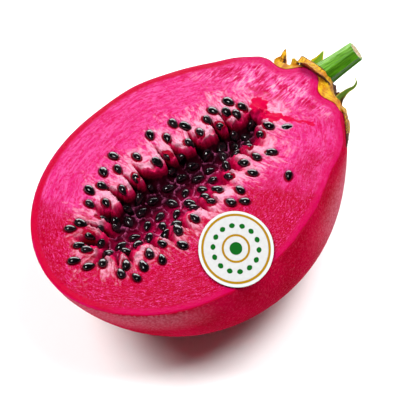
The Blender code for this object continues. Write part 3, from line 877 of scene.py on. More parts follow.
def paint_fibres(g, place, edge, cloud, fine, around):
    """Pink and crimson flesh with fine scratches, and painted glints as lilac strokes and light
    pink specks; returns the veins of its relief.
    """
    fibre = g.vector("fibre")
    ring = g.vector("ring")
    inner = g.step(edge, 15.0, 3.0)
    radial = g.noise(fibre, 1.7, 4.0, 0.65, 0.8)
    vein = g.mix(inner, around, radial)
    deep = g.step(g.sway(g.mask("crimson"), cloud, 1.2), 0.20, 0.85)
    pink = g.maths("SUBTRACT", 1.0, deep)
    g.colour = g.mix(deep, HOT_PINK, CRIMSON)
    glow = g.mix(inner, g.noise(ring, 1.1, 5.0, 0.72, 0.7), g.noise(fibre, 1.0, 5.0, 0.72, 0.7))
    g.paint(LIGHT_PINK, g.step(glow, 0.42, 0.62), pink, 0.72)
    g.paint(g.mix(deep, SCRATCH_RED, CRIMSON), g.step(g.sway(vein, fine, 0.7), 0.54, 0.58), 0.8)
    reach = g.sway(edge, g.noise(fibre, 0.55, 3.0, 0.6, 0.5), 22.0)
    reach = g.add(g.sway(reach, radial, 26.0), g.times(deep, 3.6))
    g.paint(PALE, g.step(reach, 11.0, 1.5), g.step(deep, 0.0, 1.0, 0.95, 0.85))
    dash = g.noise(fibre, 4.2, 2.0, 0.6, 0.6)
    g.paint(CRIMSON, g.step(dash, 0.60, 0.66), inner, 0.7)
    # Painted glints: thin lilac strokes on the crimson flesh, away from the rim and the hollow
    glint_stroke = g.step(g.noise(ring, 4.0, 2.0, 0.6, 1.5), 0.58, 0.62)
    glint_stroke = g.times(glint_stroke, g.step(g.mask("rim_mm"), 0.8, 2.5), g.step(edge, 2.0, 7.0))
    g.paint(LILAC_GLINT, glint_stroke, g.step(deep, 0.0, 1.0, 0.45, 0.90))
    # Painted glints: small light pink specks, away from the rim
    speck = g.step(g.noise(place, 1700.0, 1.0, 0.5), 0.66, 0.72)
    g.paint(LIGHT_PINK, speck, g.step(g.mask("rim_mm"), 1.5, 4.0), 0.22)
    return vein


def paint_stem_end(g, place):
    """Brushed pale and red strokes at the stem end."""
    brush = g.noise(g.vector("brush"), 1.2, 5.0, 0.70, 0.9)
    brush = g.sway(brush, g.noise(place, 210.0, 2.0), 0.5)
    brushed = g.mix(g.step(brush, 0.46, 0.55), RIND_PINK, LIGHT_PINK)
    brushed = g.mix(g.step(brush, 0.56, 0.64), brushed, PALE)
    brushed = g.mix(g.times(g.step(brush, 0.45, 0.40), 0.95), brushed, CRIMSON)
    g.paint(brushed, g.mask("stem_end"), 0.85)


def paint_rim(g, place, cloud, around):
    """The rind: pink below, red above and a thin edge, and then the wet red patch."""
    upper = g.mask("upper")
    band = g.sway(g.mask("rim_mm"), cloud, 1.2)
    streaky = g.sway(band, around, 2.2)
    g.paint(RIND_PINK, g.step(streaky, 2.8, 1.2), g.step(upper, 0.6, 0.1), 0.75)
    g.paint(RIND_RED, g.step(band, 2.3, 1.5), upper)
    g.paint(g.mix(upper, CRIMSON, RIND_PINK), g.step(band, 0.55, 0.2))
    wet = g.sway(g.mask("wet"), g.noise(place, 350.0, 4.0, 0.6), 1.6)
    g.paint(WET_RED, g.step(wet, 0.42, 0.58))


def paint_hollow(g, place, edge, cloud):
    """Red lobe tips with a painted glow of light through their sides, painted shade in the creases
    and on the pulp deeper down, and pale membranes with painted wet highlight.
    """
    near = g.mask("near")
    crease = g.mask("crease")
    wander = g.sway(edge, cloud, 1.4)
    g.paint(LOBE_TIP_AND_GLOW, g.step(wander, 1.3, 0.1), 0.8)
    # Painted glow of light through the lobes: their red laid on their sides by the creases
    g.paint(LOBE_TIP_AND_GLOW, g.step(crease, 0.05, 0.45), g.step(wander, 7.0, 2.0), 0.8)
    # Painted shade: dark red in the creases between the lobes
    g.paint(CREVICE_SHADE, crease, g.step(wander, 2.5, 0.5), 0.9)
    sink = g.sway(g.mask("sink"), cloud, 1.2)
    # Painted glow of light through the lobes' sides, just below the face
    g.paint(LOBE_TIP_AND_GLOW, g.step(sink, 0.3, 1.0), 0.85)
    # Painted shade: the pulp's red darkens step by step with depth, less on the near side
    g.paint(PULP, g.step(sink, 1.1, 2.0))
    g.paint(g.mix(near, PULP_DEEP_AND_SHADE, PULP_NEAR), g.step(sink, 2.0, 3.0))
    g.paint(g.mix(near, PULP_DARK_AND_SHADE, PULP_NEAR), g.step(sink, 3.0, 3.9))
    # Pale membranes between the hollow's seeds, partly painted wet highlight, in patches and most
    # on the near side
    patch = g.step(g.noise(place, 700.0, 3.0, 0.7), 0.46, 0.54)
    g.paint(MEMBRANE_AND_HIGHLIGHT, g.mask("membrane"), patch, g.step(near, 0.0, 1.0, 0.4, 1.0))


def flesh_material():
    """Wet magenta flesh with fibres, pale near the hollow, with painted shade darkening it down
    inside the hollow.
    """
    g = Graph("flesh")
    place = g.place()
    edge = g.mask("edge_mm")
    cloud = g.noise(place, 130.0, 3.0)
    fine = g.noise(place, 1300.0, 2.0, 0.6)
    around = g.noise(g.vector("ring"), 2.4, 3.5, 0.60, 0.8)
    vein = paint_fibres(g, place, edge, cloud, fine, around)
    paint_stem_end(g, place)
    g.paint(BURIED_GREY, g.step(g.mask("buried"), 1.15, 0.8), 0.85)
    g.paint(HALO_RED, g.step(g.mask("halo"), 1.28, 1.08))
    paint_rim(g, place, cloud, around)
    paint_hollow(g, place, edge, cloud)
    g.bump(g.add(vein, g.times(fine, 0.5)), 0.0003, 0.8)
    rough = g.step(g.noise(place, 600.0, 2.0), 0.3, 0.7, 0.26, 0.42)
    return g.finish(rough, Specular_IOR_Level=0.03)


SKIN_DARK = (0.33, 0.0001, 0.015)
SKIN_BRIGHT = (0.42, 0.0004, 0.030)
SKIN_STREAK = (0.52, 0.020, 0.065)
SKIN_PEBBLE = (0.50, 0.022, 0.070)
SKIN_SPECK = (0.52, 0.10, 0.15)
SKIN_PAINTED_SHEEN = (0.60, 0.210, 0.280)
SKIN_SHEEN = (1.0, 0.66, 0.84)


def skin_material():
    """Matte crimson skin with fine grain and specks, and a painted pale sheen on its flank and
    blunt end.
    """
    g = Graph("skin")
    place = g.place()
    g.colour = g.mix(g.step(g.noise(place, 90.0, 3.0), 0.35, 0.65), SKIN_DARK, SKIN_BRIGHT)
    grain = g.noise(g.vector("ring"), 3.0, 3.0, 0.7)
    g.paint(SKIN_STREAK, g.step(grain, 0.50, 0.70), 0.25)
    pebble = g.noise(place, 1500.0, 2.0, 0.60)
    g.paint(SKIN_PEBBLE, g.step(pebble, 0.50, 0.64), 0.35)
    speck = g.noise(place, 1800.0, 1.0)
    g.paint(SKIN_SPECK, g.step(speck, 0.62, 0.72), 0.15)
    # Painted sheen: pale pink on the flank and the blunt end, broken up by the pebble grain
    g.paint(SKIN_PAINTED_SHEEN, g.mask("painted_sheen"), g.step(pebble, 0.40, 0.62, 0.30, 0.58))
    g.bump(g.add(g.times(pebble, 2.0), speck), 0.00022, 0.8)
    return g.finish(0.5, Specular_IOR_Level=0.0, Sheen_Weight=0.10, Sheen_Roughness=0.15,
                    Sheen_Tint=SKIN_SHEEN)


def rim_loop(skin, body):
    """The cut edge of the skin as one closed loop of points."""
    cut = np.flatnonzero(np.linalg.norm(skin[:, 0] - skin[:, -1], axis=1) > 1e-6)
    rows = slice(cut[0] - 1, cut[-1] + 2)
    return np.concatenate([body[rows, 0], body[rows, -1][-2:0:-1]])


def fan_points(loop):
    """Points of rings that shrink from the rim's loop to a slit in the hollow's middle."""
    angle = np.arctan2(loop[:, 1] / FACE_HALF_WIDTH, (loop[:, 0] - FAN_CENTRE) / FAN_HALF_LENGTH)
    slit = SLIT_CENTRE + columns(SLIT_HALF_LENGTH * np.cos(angle), SLIT_HALF_WIDTH * np.sin(angle))
    share = np.linspace(0, 1, FACE_RINGS + 1)[:, None, None]
    return ((1 - share) * loop + share * slit).reshape(-1, 2)


def fan_faces(count):
    """Faces of the rings, and of the seam that closes the slit."""
    last = FACE_RINGS * count
    half = count // 2
    seam = [[last + i, last + i + 1, last + count - i - 1, last + count - i]
            for i in range(1, half - 1)]
    seam.append([last, last + 1, last + count - 1])
    seam.append([last + half - 1, last + half, last + half + 1])
    return grid_faces(FACE_RINGS + 1, count, wrap=True) + seam


def skin_painted_sheen(skin):
    """Where the skin gets a painted pale sheen: the stem side's flank and the blunt end."""
    along, _, height = skin.reshape(-1, 3).T
    flank = smooth(-height, 1.0, 11.0) * smooth(along, 0.0, 20.0)
    blunt = smooth(-along, 24.0, 38.0) * smooth(height, -10.0, -3.0)
    return np.clip(1.2 * flank + 0.7 * blunt, 0, 1)


def make_fruit():
    """The fruit half as one closed mesh: skin below, cut flesh and hollow above."""
    skin, around = skin_grid()
    body = flatten_underside(lean(skin))
    loop = rim_loop(skin, body)
    face = fan_points(loop[:, :2])
    rim = nearest(face, loop[:, :2])[1]
    rim[:len(loop)] = 0.0
    height, masks, vectors = face_relief(face, rim)
    top = columns(face, height)
    top[:len(loop)] = loop
    body = body.reshape(-1, 3)
    masks = {name: np.append(values, np.zeros(len(body))) for name, values in masks.items()}
    # Painted sheen, on the skin's points only
    masks["painted_sheen"] = np.append(np.zeros(len(top)), skin_painted_sheen(skin))
    for name, values in vectors.items():
        below = around.reshape(-1, 3) if name == "ring" else 0 * body
        vectors[name] = np.concatenate([values, below])
    flesh_faces = fan_faces(len(loop))
    skin_faces = grid_faces(STATIONS, SKIN_ROWS + 1, start=len(top))
    kinds = [0] * len(flesh_faces) + [1] * len(skin_faces)
    fruit = make_piece("fruit", np.concatenate([top, body]), flesh_faces + skin_faces,
                       [flesh_material(), skin_material()], masks, vectors, kinds,
                       weld=2e-6)
    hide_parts("fruit_half")
    return top


SEED_BLACK = (0.002, 0.0015, 0.002)
SEED_BROWN = (0.010, 0.005, 0.007)


def ball(subdivisions):
    """Points and faces of a ball, one unit across."""
    shape = bmesh.new()
    bmesh.ops.create_icosphere(shape, subdivisions=subdivisions, radius=0.5)
    points = np.array([vertex.co[:] for vertex in shape.verts])
    faces = np.array([[vertex.index for vertex in face.verts] for face in shape.faces])
    shape.free()
    return points, faces


def seed_material():
    """Glossy black seed coat with a fine grain."""
    g = Graph("seed")
    place = g.place()
    g.colour = g.mix(g.step(g.noise(place, 500.0, 2.0), 0.4, 0.65), SEED_BLACK, SEED_BROWN)
    g.bump(g.noise(place, 2600.0, 2.0), 0.00008, 0.5)
    return g.finish(0.10, Specular_IOR_Level=0.9)


def make_seeds(surface):
    """All the seeds, each sunk into the surface below it."""
    unit, faces = ball(3)
    seed = unit * SEED_SIZE
    seed[:, 1:] *= 1 + 0.45 * unit[:, :1] - 0.35 * unit[:, :1] ** 2
    draw = random.Random(RANDOM_SEED + 1)
    groups = ((FACE_SEEDS, FACE_SEED_LIFT), (HOLLOW_SEEDS + PACKED_SEEDS, HOLLOW_SEED_LIFT),
              (BURIED_SEEDS, BURIED_LIFT))
    every_seed = [(*seed_place, lift) for group, lift in groups for seed_place in group]
    points, every = [], []
    for index, (u, v, turn, lift) in enumerate(every_seed):
        offset = surface[:, :2] - (u, v)
        beside = (offset ** 2).sum(axis=1) < SEED_BED ** 2
        bed = columns(offset[beside], 1.0)
        slope = np.linalg.lstsq(bed, surface[beside, 2], rcond=None)[0]
        up = np.array((-slope[0], -slope[1], 1.0))
        up /= np.linalg.norm(up)
        size = draw.uniform(*SEED_SCALES)
        tip = draw.uniform(-SEED_TILT, SEED_TILT)
        roll = draw.uniform(-SEED_ROLL, SEED_ROLL)
        spin = Vector((0, 0, 1)).rotation_difference(Vector(up)).to_matrix()
        spin = spin @ Matrix.Rotation(turn, 3, "Z") @ Matrix.Rotation(tip, 3, "Y")
        spin = spin @ Matrix.Rotation(roll, 3, "X")
        points.append(seed * size @ np.array(spin).T + (u, v, slope[2]) + up * lift)
        every.append(faces + index * len(unit))
    make_piece("seeds", np.concatenate(points), np.concatenate(every).tolist(),
               [seed_material()], sharp=math.pi)


STEM_GREEN = (0.016, 0.080, 0.0007)
STEM_BRIGHT = (0.074, 0.240, 0.004)
STEM_PAINTED_HIGHLIGHT = (0.27, 0.50, 0.11)
STEM_SHADE = (0.012, 0.058, 0.0004)
STEM_EDGE = (0.24, 0.40, 0.06)
STEM_PITH = (0.28, 0.15, 0.05)
STEM_PALE = (0.60, 0.46, 0.27)


def stem_material():
    """Fresh green stem with long streaks, painted highlight streaks on its lit side and painted
    shade on the other side, and a fibrous beige cut end.
    """
    g = Graph("stem")
    long = g.vector("ring")
    cut = g.mask("cut")
    fibre = g.noise(long, 1.0, 4.0, 0.65)
    g.colour = g.mix(g.step(fibre, 0.35, 0.65), STEM_GREEN, STEM_BRIGHT)
    streak = g.step(g.noise(long, 2.6, 3.0, 0.7), 0.47, 0.59, 0.22, 1.0)
    # Painted highlight: pale green streaks on the side towards the lamps. Painted shade: darker
    # green on the side away from them, most at the root.
    g.paint(STEM_PAINTED_HIGHLIGHT, g.mask("light"), streak, 0.85)
    g.paint(STEM_SHADE, g.mask("shade"), 0.85)
    pith = g.noise(g.place(), 2200.0, 3.0, 0.7)
    g.paint(STEM_EDGE, g.step(cut, 0.05, 0.12))
    g.paint(g.mix(g.step(pith, 0.4, 0.6), STEM_PITH, STEM_PALE), g.step(cut, 0.14, 0.24))
    g.bump(g.add(fibre, g.times(pith, 0.6, cut)), 0.00018, 0.6)
    return g.finish(0.38, Specular_IOR_Level=0.15)


def stem_radius(share):
    """Radius of the stem at a share of its length, flared at its root."""
    flare = STEM_ROOT_FLARE * (1 - share) ** 3
    return between((STEM_ROOT_RADIUS, STEM_TIP_RADIUS), share) + flare


def stem_point(share, inward, bearing, x, y):
    """A point of the stem's side or, where inward isn't 0, of its cut end."""
    ridge = STEM_RIDGE_HEIGHT * math.cos(STEM_RIDGES * bearing)
    ridge += STEM_FINE_RIDGE_HEIGHT * math.cos(2 * STEM_RIDGES * bearing + 0.8)
    radius = (stem_radius(share) + ridge * (1 - inward)) * (1 - inward)
    ring = STEM_SPIN @ Vector((radius * x, radius * y, 0))
    slant = STEM_CUT_SLANT * ring.dot(STEM_CUT_FACING) * share ** 4
    return STEM_ROOT + ring + STEM_AXIS * (share * STEM_RUN.length - slant)


def make_stem():
    """Ridged stub with a slanting fibrous cut end."""
    sides, rings, caps = 144, 60, 18
    rows = [(ring / rings, 0.0) for ring in range(rings + 1)]
    rows += [(1.0, cap / caps) for cap in range(1, caps + 1)]
    points, cut, long, light, shade = [], [], [], [], []
    for share, inward in rows:
        spread, level = (7.0 * (1 - inward), 5.0) if inward else (7.04, 1.6 * share)
        for bearing, x, y in ring_points(sides):
            rough = noise.noise(Vector((6 * (1 - inward) * x, 6 * (1 - inward) * y, 2.0)))
            rough *= STEM_CUT_ROUGHNESS * min(1, inward * 4)
            point = stem_point(share, inward * 0.98, bearing, x, y) + STEM_AXIS * rough
            out = point - STEM_ROOT
            out = (out - STEM_AXIS * out.dot(STEM_AXIS)).normalized()
            # How squarely a point of the side faces the lit side, for the painted highlight and the
            # painted shade
            facing = 0.0 if inward else out.dot(STEM_LIT_SIDE)
            points.append(point[:])
            cut.append(inward)
            long.append((spread * x, spread * y, level))
            light.append(max(facing, 0.0) ** 3)
            shade.append(max(-facing, 0.0) * (1 - 0.6 * share))
    piece = make_piece("stem_stub", points, tube_faces(len(rows), sides), [stem_material()],
                       {"cut": cut, "light": light, "shade": shade}, {"ring": long},
                       sharp=math.radians(38))
    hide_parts("stem")


PAPER_DARK = (0.405, 0.405, 0.405)
PAPER_LIGHT = (0.435, 0.435, 0.435)
PAPER_EDGE = (0.475, 0.495, 0.495)
PRINT_GOLD = (0.25, 0.132, 0.003)
PRINT_GREEN = (0.001, 0.072, 0.005)


def label_material():
    """White paper with two gold rings, a ring of green dots and a green middle."""
    g = Graph("label")
    reach = g.mask("reach")
    spin = g.mask("spin")
    g.colour = g.mix(g.step(g.noise(g.place(), 900.0, 3.0), 0.3, 0.7), PAPER_DARK, PAPER_LIGHT)
    g.paint(PAPER_EDGE, g.step(reach, 0.93, 0.94))
    g.paint(PRINT_GOLD, g.step(reach, 0.855, 0.865), g.step(reach, 0.93, 0.92))
    g.paint(PRINT_GOLD, g.step(reach, 0.315, 0.325), g.step(reach, 0.385, 0.375))
    across = g.times(g.maths("SUBTRACT", reach, 0.61), 8.0)
    dot = g.add(g.times(across, across), g.times(spin, spin))
    g.paint(PRINT_GREEN, g.step(dot, 0.34, 0.26))
    g.paint(PRINT_GREEN, g.step(reach, 0.175, 0.165))
    return g.finish(0.6, Specular_IOR_Level=0.05)


def make_label():
    """A thin oval of paper lying on the cut face, its edge a little lifted."""
    sides, rings = 240, 44
    points, reach, spin = [], [], []
    for top in (True, False):
        for ring in range(rings + 1):
            share = ring / rings if top else 1 - ring / rings
            rise = LABEL_THICKNESS * (1 - 0.5 * share ** 12) if top else 0.1 * share ** 8
            for bearing, x, y in ring_points(sides):
                curl = LABEL_CURL * share ** 6 * (1 + math.sin(3 * bearing + 0.4))
                along = share * LABEL_SIZE[0] / 2 * x
                across = share * LABEL_SIZE[1] / 2 * y
                u, v = LABEL_CENTRE + turned(along, across, -LABEL_TURN)
                points.append((u, v, LABEL_GAP + curl + rise))
                reach.append(share)
                spin.append(math.sin(bearing * LABEL_DOTS / 2) * 0.7)
    piece = make_piece("paper_label", points, grid_faces(2 * (rings + 1), sides, wrap=True),
                       [label_material()], {"reach": reach, "spin": spin}, weld=1e-6,
                       sharp=math.radians(60))
    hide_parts("label")


def spine_curve(points, share):
    """A smooth curve through points, at a share of the way along it."""
    knots = np.array(points, float)
    first = 2 * knots[0] - knots[1]
    last = 2 * knots[-1] - knots[-2]
    knots = np.concatenate([[first], knots, [last]])
    travelled = share * (len(points) - 1)
    index = min(int(travelled), len(points) - 2)
    step = travelled - index
    a, b, c, d = knots[index:index + 4]
    return 0.5 * (2 * b + (c - a) * step + (2 * a - 5 * b + 4 * c - d) * step ** 2
                  + (3 * b - a - 3 * c + d) * step ** 3)


def blade(spine, widths, thickness, flat, cup, rings=56, sides=28):
    """A thin cupped leaf with a rib down its back: points, faces, share along and across."""
    points, along, across = [], [], []
    for ring in range(rings + 1):
        share = ring / rings
        here = spine_curve(spine, share)
        ahead = spine_curve(spine, min(share + 0.01, 1)) - spine_curve(spine, max(share - 0.01, 0))
        ahead /= np.linalg.norm(ahead)
        side = np.array(flat, float) - ahead * ahead.dot(flat)
        side /= np.linalg.norm(side)
        normal = np.cross(ahead, side)
        half = np.interp(share, np.linspace(0, 1, len(widths)), widths) / 2
        half *= 1 + 0.10 * noise.noise(Vector((share * 9, widths[0], 2.0)))
        thick = thickness / 2 * min(1.0, 0.25 + half / widths[0] * 2)
        for _, x, y in ring_points(sides):
            rib = 0.35 * bell(x, 0.2) if y < 0 else 0.0
            lift = thick * y * (1 - 0.6 * x * x + rib) + cup * half * (x * x - 0.4)
            points.append(here + side * half * x + normal * lift)
            along.append(share)
            across.append(x)
    return np.array(points), tube_faces(rings + 1, sides), np.array(along), np.array(across)


def collar_shell(sides=180):
    """The collar as a closed turned shape with a torn outer edge."""
    profile = [(0.0, COLLAR_PROFILE[0][1]), *COLLAR_PROFILE, (0.0, COLLAR_PROFILE[-1][1])]
    points = []
    for radius, place in profile:
        outer = smooth(radius, 9.0, 14.0)
        ring = smooth(radius, 3.0, 4.5) * (1 - smooth(radius, 6.0, 9.0))
        for _, x, y in ring_points(sides):
            spot = Vector((2.6 * x, 2.6 * y, 0.0))
            tear = noise.noise(spot * 2.4) + 0.5 * noise.noise(spot * 6 + Vector((3, 0, 0)))
            fold = noise.noise(spot * 1.6 + Vector((0, 0, radius * 0.3)))
            far = radius + COLLAR_FOLD * fold * smooth(radius, 5.0, 8.0)
            high = place - outer * COLLAR_TEAR * tear
            high += ring * COLLAR_RING_TEAR * noise.noise(spot * 2 + Vector((9, 0, 0)))
            pinch = 1 - COLLAR_PINCH * max(far * x, 0.0) / max(radius, COLLAR_PINCH_RADIUS)
            points.append((high, far * x * pinch + COLLAR_AXIS[0], far * y + COLLAR_AXIS[1]))
    return np.array(points), grid_faces(len(profile), sides, wrap=True)


def grown_fruit(gap, sides=96):
    """The whole fruit with its dimpled end, a little larger all round, closed."""
    u, radius, centre = body_profile()
    turn = np.linspace(0, 2 * math.pi, sides, endpoint=False)
    wide = (radius + gap * smooth(u, -47.0, -40.0))[:, None]
    along = (u + gap * smooth(u, 30.0, 38.0))[:, None]
    points = np.stack(np.broadcast_arrays(along, centre[:, :1] + wide * np.cos(turn),
                                          centre[:, 1:] + wide * np.sin(turn)), axis=2)
    return points.reshape(-1, 3), grid_faces(STATIONS, sides, wrap=True)


def grown_stem(gap, sides=48):
    """The room that the stem takes in the collar."""
    points = []
    shares = (0.0, 0.15, 0.5, 1.0)
    for share in shares:
        radius = stem_radius(share) + gap
        for _, x, y in ring_points(sides):
            ring = STEM_SPIN @ Vector((radius * x, radius * y, 0))
            points.append((STEM_ROOT + ring + STEM_RUN * share)[:])
    return points, tube_faces(len(shares), sides)


def shape_object(points, faces):
    """A closed scratch object in the fruit's axes, in mm."""
    mesh = bpy.data.meshes.new("scratch")
    mesh.from_pydata(np.asarray(points).tolist(), [], faces)
    shape = bmesh.new()
    shape.from_mesh(mesh)
    bmesh.ops.remove_doubles(shape, verts=shape.verts, dist=1e-4)
    loose = [edge for edge in shape.edges if edge.is_boundary]
    bmesh.ops.holes_fill(shape, edges=loose, sides=0)
    bmesh.ops.recalc_face_normals(shape, faces=shape.faces)
    shape.to_mesh(mesh)
    shape.free()
    item = bpy.data.objects.new("scratch", mesh)
    bpy.context.scene.collection.objects.link(item)
    return item


def settle(item):
    """Replace an object's mesh by what its modifiers make of it; its points and normals."""
    bpy.context.view_layer.update()
    graph = bpy.context.evaluated_depsgraph_get()
    mesh = bpy.data.meshes.new_from_object(item.evaluated_get(graph))
    item.modifiers.clear()
    item.data = mesh
    read = np.empty((2, len(mesh.vertices) * 3))
    mesh.vertices.foreach_get("co", read[0])
    mesh.vertices.foreach_get("normal", read[1])
    return read.reshape(2, -1, 3)


def nearest_bract(points):
    """Share along the nearest brown bract, which one it is, and how near its spine is."""
    samples, shares, numbers = [], [], []
    for number, (spine, *_) in enumerate(BROWN_BRACTS):
        for step in range(SPINE_SAMPLES + 1):
            samples.append(spine_curve(spine, step / SPINE_SAMPLES))
            shares.append(step / SPINE_SAMPLES)
            numbers.append(number)
    chosen, distance = nearest(points, np.array(samples))
    return np.array(shares)[chosen], np.array(numbers)[chosen], distance


def collar_radius(points):
    """Distance from the collar's axis."""
    return np.hypot(points[:, 1] - COLLAR_AXIS[0], points[:, 2] - COLLAR_AXIS[1])


def bract_grain(points):
    """Coordinates long along the bracts and round the collar, and which bract is where."""
    share, which, distance = nearest_bract(points)
    on_bract = np.clip(1.6 - distance / 1.8, 0, 1)
    turn = np.arctan2(points[:, 2] - COLLAR_AXIS[1], points[:, 1] - COLLAR_AXIS[0])
    collar = columns(9 * np.cos(turn), 9 * np.sin(turn), 0.35 * collar_radius(points))
    leaf = columns(points[:, 1] * 1.6, points[:, 2] * 1.6, share * 1.2 + which * 7.0)
    return np.where(on_bract[:, None] > 0.5, leaf, collar), share * on_bract, on_bract, which


CALYX_OCHRE = (0.44, 0.150, 0.002)
CALYX_YELLOW = (0.60, 0.35, 0.008)
CALYX_GREEN = (0.16, 0.28, 0.01)
CALYX_BROWN = (0.24, 0.060, 0.003)
CALYX_STRAW = (0.72, 0.54, 0.10)
CALYX_DARK = (0.050, 0.009, 0.003)
CALYX_SPECK = (0.09, 0.02, 0.003)


def calyx_material():
    """Dry ochre tissue with brown streaks, torn dark edges, brown tips and painted shade along the
    flap's rolled edges.
    """
    g = Graph("calyx")
    place = g.place()
    fibre = g.noise(g.vector("grain"), 1.6, 4.0, 0.65, 0.4)
    cloud = g.noise(place, 420.0, 3.0)
    g.colour = g.mix(g.step(cloud, 0.36, 0.64), CALYX_OCHRE, CALYX_YELLOW)
    g.paint(CALYX_GREEN, g.mask("green"), g.step(cloud, 0.3, 0.6))
    g.paint(CALYX_BROWN, g.step(fibre, 0.50, 0.61), 0.80)
    g.paint(CALYX_STRAW, g.step(fibre, 0.40, 0.28), 0.5)
    # Dark brown at the dry tips, thorns and torn edges, and painted shade along the flap's rolled
    # edges
    g.paint(CALYX_DARK, g.step(g.sway(g.mask("brown_and_shade"), fibre, 1.2), 0.42, 0.78))
    speck = g.noise(place, 2400.0, 2.0)
    g.paint(CALYX_SPECK, g.step(speck, 0.62, 0.72), 0.5)
    g.bump(g.add(fibre, g.times(speck, 0.5)), 0.0003, 0.8)
    return g.finish(0.55, Specular_IOR_Level=0.3)


def calyx_cutters():
    """Scratch objects of the room that the fruit, the stem and the air over the face take."""
    air = [(u, v, w) for u in (0, COLLAR_RING_START) for v in (-CUTTER_REACH, CUTTER_REACH)
           for w in (COLLAR_FACE_HEIGHT, CUTTER_REACH)]
    air_faces = [(0, 1, 3, 2), (4, 6, 7, 5), (0, 4, 5, 1), (2, 3, 7, 6), (0, 2, 6, 4), (1, 5, 7, 3)]
    return [shape_object(*grown_fruit(CALYX_GAP)), shape_object(*grown_stem(CALYX_GAP)),
            shape_object(air, air_faces)]


def grow_calyx():
    """Points, normals and faces of the collar and its dry bracts, grown into one and cut."""
    parts = [collar_shell()] + [blade(*bract)[:2] for bract in BROWN_BRACTS]
    faces, start = [], 0
    for points, own_faces in parts:
        faces += [[corner + start for corner in face] for face in own_faces]
        start += len(points)
    item = shape_object(np.concatenate([points for points, _ in parts]), faces)
    remesh = item.modifiers.new("Grow", "REMESH")
    remesh.mode = "VOXEL"
    remesh.voxel_size = CALYX_VOXEL
    places, normals = settle(item)
    rough = CALYX_WRINKLE * roughness_field(bract_grain(places)[0], 0.55, 4.0)
    rough += CALYX_LUMP * roughness_field(places, 0.9, 6.0)
    item.data.vertices.foreach_set("co", (places + normals * rough[:, None]).ravel())
    cutters = calyx_cutters()
    for cutter in cutters:
        modifier = item.modifiers.new("Cut", "BOOLEAN")
        modifier.operation = "DIFFERENCE"
        modifier.solver = "MANIFOLD"
        modifier.object = cutter
    places, normals = settle(item)
    faces = [list(face.vertices) for face in item.data.polygons]
    for scratch in cutters + [item]:
        bpy.data.objects.remove(scratch, do_unlink=True)
    return places, normals, faces


def make_calyx():
    """The torn collar and its dry bracts, brown at the tips and at the torn edges, with painted
    shade along the flap's rolled edges.
    """
    places, normals, faces = grow_calyx()
    grain, share, on_bract, which = bract_grain(places)
    along, _, height = places.T
    # Painted shade in the creases along the flap's two rolled edges, over its own brown
    lip = np.maximum(smooth(along, 44.9, 45.3), smooth(-along, -43.7, -43.3))
    brown_and_shade = 0.45 * smooth(share, 0.6, 1.0) + (normals @ SPIKE_BACK > 0.45) * (which == SPIKE)
    brown_and_shade += 0.8 * ((which == LEFT_THORN) | (which == RIGHT_THORN)) + 0.8 * lip * (which == FLAP)
    brown_and_shade += 0.35 * (which == RIBBON)
    brown_and_shade = np.clip(brown_and_shade * on_bract + 0.3 * smooth(collar_radius(places), 12.5, 15.0), 0, 1)
    green = np.clip(-normals[:, 0], 0, 1) * on_bract * (which == BACK_SPIKE)
    green = np.clip(green + 0.5 * smooth(height, -6.0, -12.0), 0, 1)
    piece = make_piece("calyx_collar", lean(places), faces, [calyx_material()],
                       {"brown_and_shade": brown_and_shade, "green": green}, {"grain": grain}, weld=4e-6,
                       sharp=math.radians(60), grown=True)
    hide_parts("calyx")


BRACT_COLOURS = {"green_bract_curled": ((0.075, 0.155, 0.006), (0.36, 0.35, 0.03)),
                 "green_bract_upright": ((0.10, 0.20, 0.004), (0.48, 0.40, 0.005))}
BRACT_VEIN = (0.06, 0.13, 0.004)
BRACT_ROOT = (0.50, 0.36, 0.02)
BRACT_UNDER = (0.045, 0.018, 0.004)


def bract_material(name, green, yellow):
    """Fresh bract: green down the middle and yellow at its edges, with fine veins."""
    g = Graph(name)
    vein = g.noise(g.vector("grain"), 1.0, 4.0, 0.6)
    g.colour = g.mix(g.step(g.sway(g.mask("edge"), vein, 0.7), 0.45, 0.9), green, yellow)
    g.paint(BRACT_VEIN, g.step(vein, 0.5, 0.65), 0.4)
    g.paint(BRACT_ROOT, g.mask("root"))
    g.paint(BRACT_UNDER, g.mask("under"))
    g.bump(vein, 0.00025, 0.7)
    return g.finish(0.45, Specular_IOR_Level=0.35)


def make_green_bracts():
    """The two fresh bracts."""
    for node, *form in GREEN_BRACTS:
        name = node.replace("green", "fresh")
        points, faces, share, across = blade(*form, rings=120, sides=48)
        curled = name.endswith("curled")
        root = smooth(share, 0.32, 0.08) if curled else smooth(share, 0.15, 0.0)
        low = smooth(-across, 0.1, 0.5) * smooth(share, 0.6, 0.3) * curled
        piece = make_piece(name, lean(points), faces,
                           [bract_material(name, *BRACT_COLOURS[node])],
                           {"edge": np.abs(across), "root": root, "under": low},
                           {"grain": columns(across * 3.5, share * 2.0, 0.0)})
        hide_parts(node)


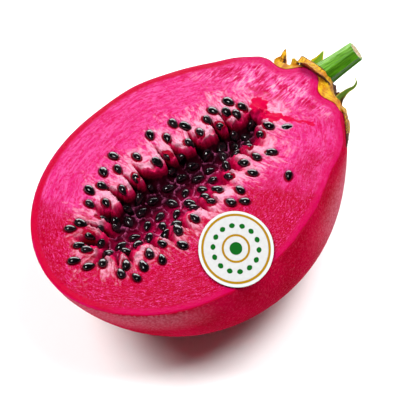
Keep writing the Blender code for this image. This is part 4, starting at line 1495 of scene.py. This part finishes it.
def make_floor():
    """A wide plain white floor."""
    bpy.ops.mesh.primitive_plane_add(size=FLOOR_SIZE)
    floor = bpy.context.active_object
    floor.name = "floor"
    g = Graph("floor")
    g.colour = (0.965, 0.965, 0.965)
    floor.data.materials.append(g.finish(0.9))


def place_aimed(name, data, place, aim):
    """A lamp or camera at a place, turned to a point, both in metres."""
    item = bpy.data.objects.new(name, data)
    item.location = place
    item.rotation_mode = "QUATERNION"
    item.rotation_quaternion = (aim - item.location).to_track_quat("-Z", "Y")
    bpy.context.scene.collection.objects.link(item)
    return item


def make_lights():
    """Faint white surroundings, a soft lamp on either side, and two lamps that only glint."""
    world = bpy.data.worlds.new("studio")
    bpy.context.scene.world = world
    world.use_nodes = True
    background = world.node_tree.nodes["Background"]
    background.inputs["Color"].default_value = (1.0, 1.0, 1.0, 1.0)
    background.inputs["Strength"].default_value = WORLD_STRENGTH
    world.cycles_visibility.glossy = False
    for name, (place, width, height, watts, left_out_of) in LAMPS.items():
        lamp = bpy.data.lights.new(name, "AREA")
        lamp.shape = "RECTANGLE"
        lamp.size = width
        lamp.size_y = height
        lamp.energy = watts
        item = place_aimed(name, lamp, Vector(place) * MM, LAMP_AIM * MM)
        setattr(item, left_out_of, False)
    bpy.context.scene.view_settings.view_transform = "Standard"


def make_camera():
    """The photograph's camera."""
    camera = bpy.data.cameras.new("camera")
    camera.lens = CAMERA_LENS
    camera.sensor_width = 36.0
    camera.clip_start = 0.01
    camera.clip_end = 20.0
    back = Vector((math.sin(CAMERA_AZIMUTH) * math.cos(CAMERA_ELEVATION),
                   -math.cos(CAMERA_AZIMUTH) * math.cos(CAMERA_ELEVATION),
                   math.sin(CAMERA_ELEVATION)))
    middle = Vector(to_row((0.0, 0.0, 0.0)))
    right = Vector((0, 0, 1)).cross(back).normalized()
    aim = middle + (right * AIM_RIGHT + back.cross(right) * AIM_UP) * MM
    item = place_aimed("camera", camera, middle + back * CAMERA_DISTANCE * MM, aim)
    bpy.context.scene.camera = item


surface = make_fruit()
make_seeds(surface)
make_stem()
make_label()
make_calyx()
make_green_bracts()
make_floor()
make_lights()
make_camera()
